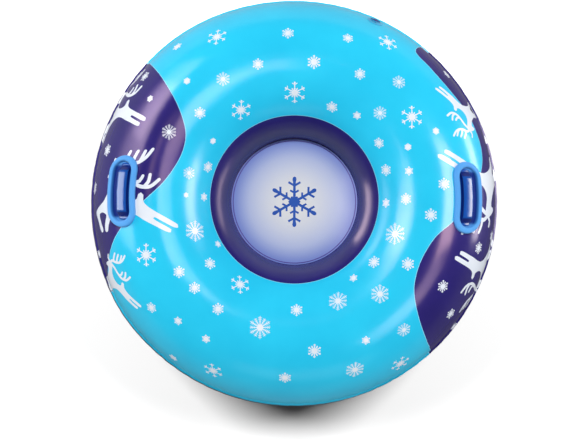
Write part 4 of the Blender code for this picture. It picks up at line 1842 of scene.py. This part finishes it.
@dataclass
class Studio:
    """A pale floor, soft lamps and an even surround. What shows in the gloss is set apart."""

    floor_size: float = 16.0
    floor_colour: Colour = (0.45, 0.45, 0.45)
    floor_gloss_front: Colour = (0.065, 0.06, 0.065)
    floor_gloss_back: Colour = (0.11, 0.105, 0.11)
    floor_bounce: Colour = (0.225, 0.225, 0.225)
    gloss_ends: tuple[float, float] = (-0.4, 1.0)
    glow_radius: tuple[float, float] = (1.0, 3.5)
    world_colour: Colour = (0.09, 0.09, 0.093)
    world_gloss: Colour = (0.10, 0.10, 0.12)
    lamps: tuple[Lamp, ...] = (
        Lamp("key", (0.0, 2.3, 6.2), (0.0, 0.0, 0.2), (1.8, 1.4), 390, LampUse.MATTE, Reach.TUBE),
        Lamp("floor_left", (-4.6, 2.9, 4.6), (0.0, 0.0, 0.2), (3.4, 4.2), 1700, LampUse.MATTE, Reach.FLOOR),
        Lamp("floor_right", (4.6, 2.9, 4.6), (0.0, 0.0, 0.2), (3.4, 4.2), 1700, LampUse.MATTE, Reach.FLOOR),
        Lamp("front_fill", (0.2, -3.4, 1.1), (0.0, 0.0, 0.2), (3.0, 1.0), 45, LampUse.MATTE, Reach.TUBE),
        Lamp("left_fill", (-3.0, 0.5, 0.7), (0.0, 0.0, 0.2), (1.4, 1.4), 40, LampUse.MATTE, Reach.TUBE),
        Lamp("right_fill", (3.0, 0.3, 0.7), (0.0, 0.0, 0.2), (1.4, 1.4), 36, LampUse.MATTE, Reach.TUBE),
        Lamp("right_box", (0.97, 0.08, 1.10), (-0.1, 0.04, 0.30), (0.72, 0.42), 11, LampUse.GLOSS,
             Reach.SKIN, tint=(1.0, 0.62, 0.62)),
        Lamp("right_front", (0.480, -0.427, 0.655), (0.258, -0.259, 0.31), (0.50, 0.18), 0.09, LampUse.GLOSS,
             Reach.SKIN, tint=(1.0, 0.68, 0.76), spread=44),
        Lamp("left_box", (-0.33, 0.12, 0.94), (0.25, -0.07, 0.30), (0.29, 0.50), 0.62, LampUse.GLOSS,
             Reach.SKIN, tint=(1.0, 0.62, 0.62), spread=60),
        Lamp("crest_strip", (-0.215, 0.09, 0.81), (-0.215, 0.09, 0.0), (0.24, 0.50), 0.34, LampUse.GLOSS,
             Reach.SKIN, tint=(1.0, 0.68, 0.74), spread=70),
        Lamp("crest_back", (-0.13, 0.33, 0.81), (-0.13, 0.33, 0.0), (0.26, 0.20), 0.08, LampUse.GLOSS,
             Reach.SKIN, tint=(1.0, 0.68, 0.74), spread=70),
        Lamp("left_low", (-0.658, 0.239, 0.375), (-0.375, 0.136, 0.06), (0.90, 0.36), 2.0, LampUse.GLOSS,
             Reach.SKIN, tint=(1.0, 0.75, 0.85), spread=100),
        Lamp("left_hot", (-0.545, 0.356, 0.405), (-0.295, 0.193, 0.095), (0.25, 0.16), 0.20, LampUse.GLOSS,
             Reach.SKIN, tint=(1.0, 0.75, 0.85), spread=100),
        Lamp("right_low", (1.75, 0.25, 0.16), (0.0, 0.25, 0.16), (1.1, 0.30), 12, LampUse.GLOSS,
             Reach.SKIN, tint=(1.0, 0.86, 0.93)),
        Lamp("left_grip", (-0.786, 0.015, 0.41), (-0.41, 0.015, 0.275), (0.40, 0.32), 3.0, LampUse.GLOSS,
             Reach.LEFT_BAR, tint=(1.0, 1.0, 0.84)),
        Lamp("right_grip", (0.80, 0.0, 0.36), (0.41, 0.0, 0.275), (0.40, 0.17), 2.8, LampUse.GLOSS,
             Reach.RIGHT_BAR, tint=(1.0, 0.92, 0.68)),
        Lamp("well_right", (0.09, -0.015, 0.182), (0.2, -0.015, 0.182), (0.08, 0.036), 0.05, LampUse.GLOSS,
             Reach.SKIN, tint=(1.0, 0.74, 0.80)),
        Lamp("well_left", (-0.06, 0.01, 0.18), (-0.2, 0.01, 0.18), (0.05, 0.02), 0.018, LampUse.GLOSS,
             Reach.SKIN, tint=(1.0, 0.74, 0.80)),
        Lamp("seat_right", (0.160, 0.0, 0.81), (0.160, 0.0, 0.0), (0.05, 0.24), 0.28, LampUse.GLOSS,
             Reach.SEAT, tint=(1.0, 0.85, 0.90)),
    )

    def build_floor(self) -> bpy.types.Object:
        """Adds the floor, which glows far from the tube and so meets the white surround without an edge.

        Returns:
            The floor.
        """
        deselect_all()
        bpy.ops.mesh.primitive_grid_add(x_subdivisions=8, y_subdivisions=8, size=self.floor_size)
        floor = settle(bpy.context.object, "studio_floor")
        shader = Shader("studio_floor")
        shader.tree.nodes.remove(shader.surface)
        split = shader.node("SeparateXYZ")
        shader.feed(split.inputs[0], shader.node("TexCoord").outputs["Object"])
        back = shader.maths("SUBTRACT", split.outputs["Y"], split.outputs["X"])
        share = shader.ranged(back, (*self.gloss_ends, 0.0, 1.0))
        gloss = shader.mix(share, self.floor_gloss_front, self.floor_gloss_back)
        diffuse = shader.node("BsdfDiffuse")
        path = shader.node("LightPath")
        tone = shader.mix(path.outputs["Is Diffuse Ray"], self.floor_colour, self.floor_bounce)
        shader.feed(diffuse.inputs["Color"], shader.mix(path.outputs["Is Glossy Ray"], tone, gloss))
        glow = shader.node("Emission")
        far = shader.ranged(shader.radius(), (*self.glow_radius, 0.0, 1.0), "SMOOTHSTEP")
        seen = shader.maths("MAXIMUM", path.outputs["Is Camera Ray"], path.outputs["Is Transmission Ray"])
        shader.feed(glow.inputs["Strength"], shader.maths("MULTIPLY", seen, far))
        both = shader.node("AddShader")
        shader.feed(both.inputs[0], diffuse.outputs[0])
        shader.feed(both.inputs[1], glow.outputs[0])
        shader.feed(shader.tree.nodes["Material Output"].inputs["Surface"], both.outputs[0])
        floor.data.materials.append(shader.material)
        return floor

    def build_world(self) -> None:
        """Sets an even grey surround, white to the camera."""
        world = bpy.data.worlds.new("studio")
        bpy.context.scene.world = world
        world.use_nodes = True
        tree = world.node_tree
        background = tree.nodes["Background"]
        path = tree.nodes.new("ShaderNodeLightPath")
        colour = None
        for share, other in ((path.outputs["Is Glossy Ray"], self.world_gloss),
                             (path.outputs["Is Camera Ray"], (1.0, 1.0, 1.0))):
            mix = tree.nodes.new("ShaderNodeMix")
            mix.data_type = "RGBA"
            mix.inputs[7].default_value = (*other, 1)
            if colour:
                tree.links.new(colour, mix.inputs[6])
            else:
                mix.inputs[6].default_value = (*self.world_colour, 1)
            tree.links.new(share, mix.inputs[0])
            colour = mix.outputs[2]
        tree.links.new(colour, background.inputs["Color"])
        background.inputs["Strength"].default_value = 1.0

    def build(self, view: View) -> None:
        """Sets the stage and the camera.

        Args:
            view: The photograph's camera.
        """
        floor = self.build_floor()
        self.build_world()
        pieces = [item for item in bpy.data.objects if item.type == "MESH" and item is not floor]
        starts = {
            Reach.TUBE: "",
            Reach.SKIN: ("tube", "snowflakes", "reindeer", "valve"),
            Reach.SEAT: "seat_sheet",
            Reach.LEFT_BAR: "left_handle_bar",
            Reach.RIGHT_BAR: "right_handle_bar",
        }
        groups = {Reach.FLOOR: [floor]}
        for reach, start in starts.items():
            groups[reach] = [item for item in pieces if item.name.startswith(start)]
        receivers = {}
        for reach, lit in groups.items():
            receivers[reach] = bpy.data.collections.new("lit_" + reach.value)
            for item in lit:
                receivers[reach].objects.link(item)
        for lamp in self.lamps:
            lamp.build(receivers)
        view.make_camera()
        bpy.context.scene.view_settings.view_transform = "Standard"


def main() -> None:
    """Builds the tube's looks in order and sets the stage."""
    logging.basicConfig(level=logging.INFO, format="%(message)s")
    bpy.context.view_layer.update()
    view = View()
    ring = Ring()
    Skins(ring, view).build()
    Seat(ring).build()
    flakes = Snowflakes(ring, view)
    flakes.build()
    flakes.build_seat_flake(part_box("seat_floor")[1].z)
    Reindeer(ring, view).build()
    for side, azimuth, turn in HANDLES:
        handle = Handle(ring, side, azimuth, turn)
        handle.build_tray()
        handle.build_bar()
    Valve(ring).build()
    Studio().build(view)


if __name__ == "__main__":
    main()
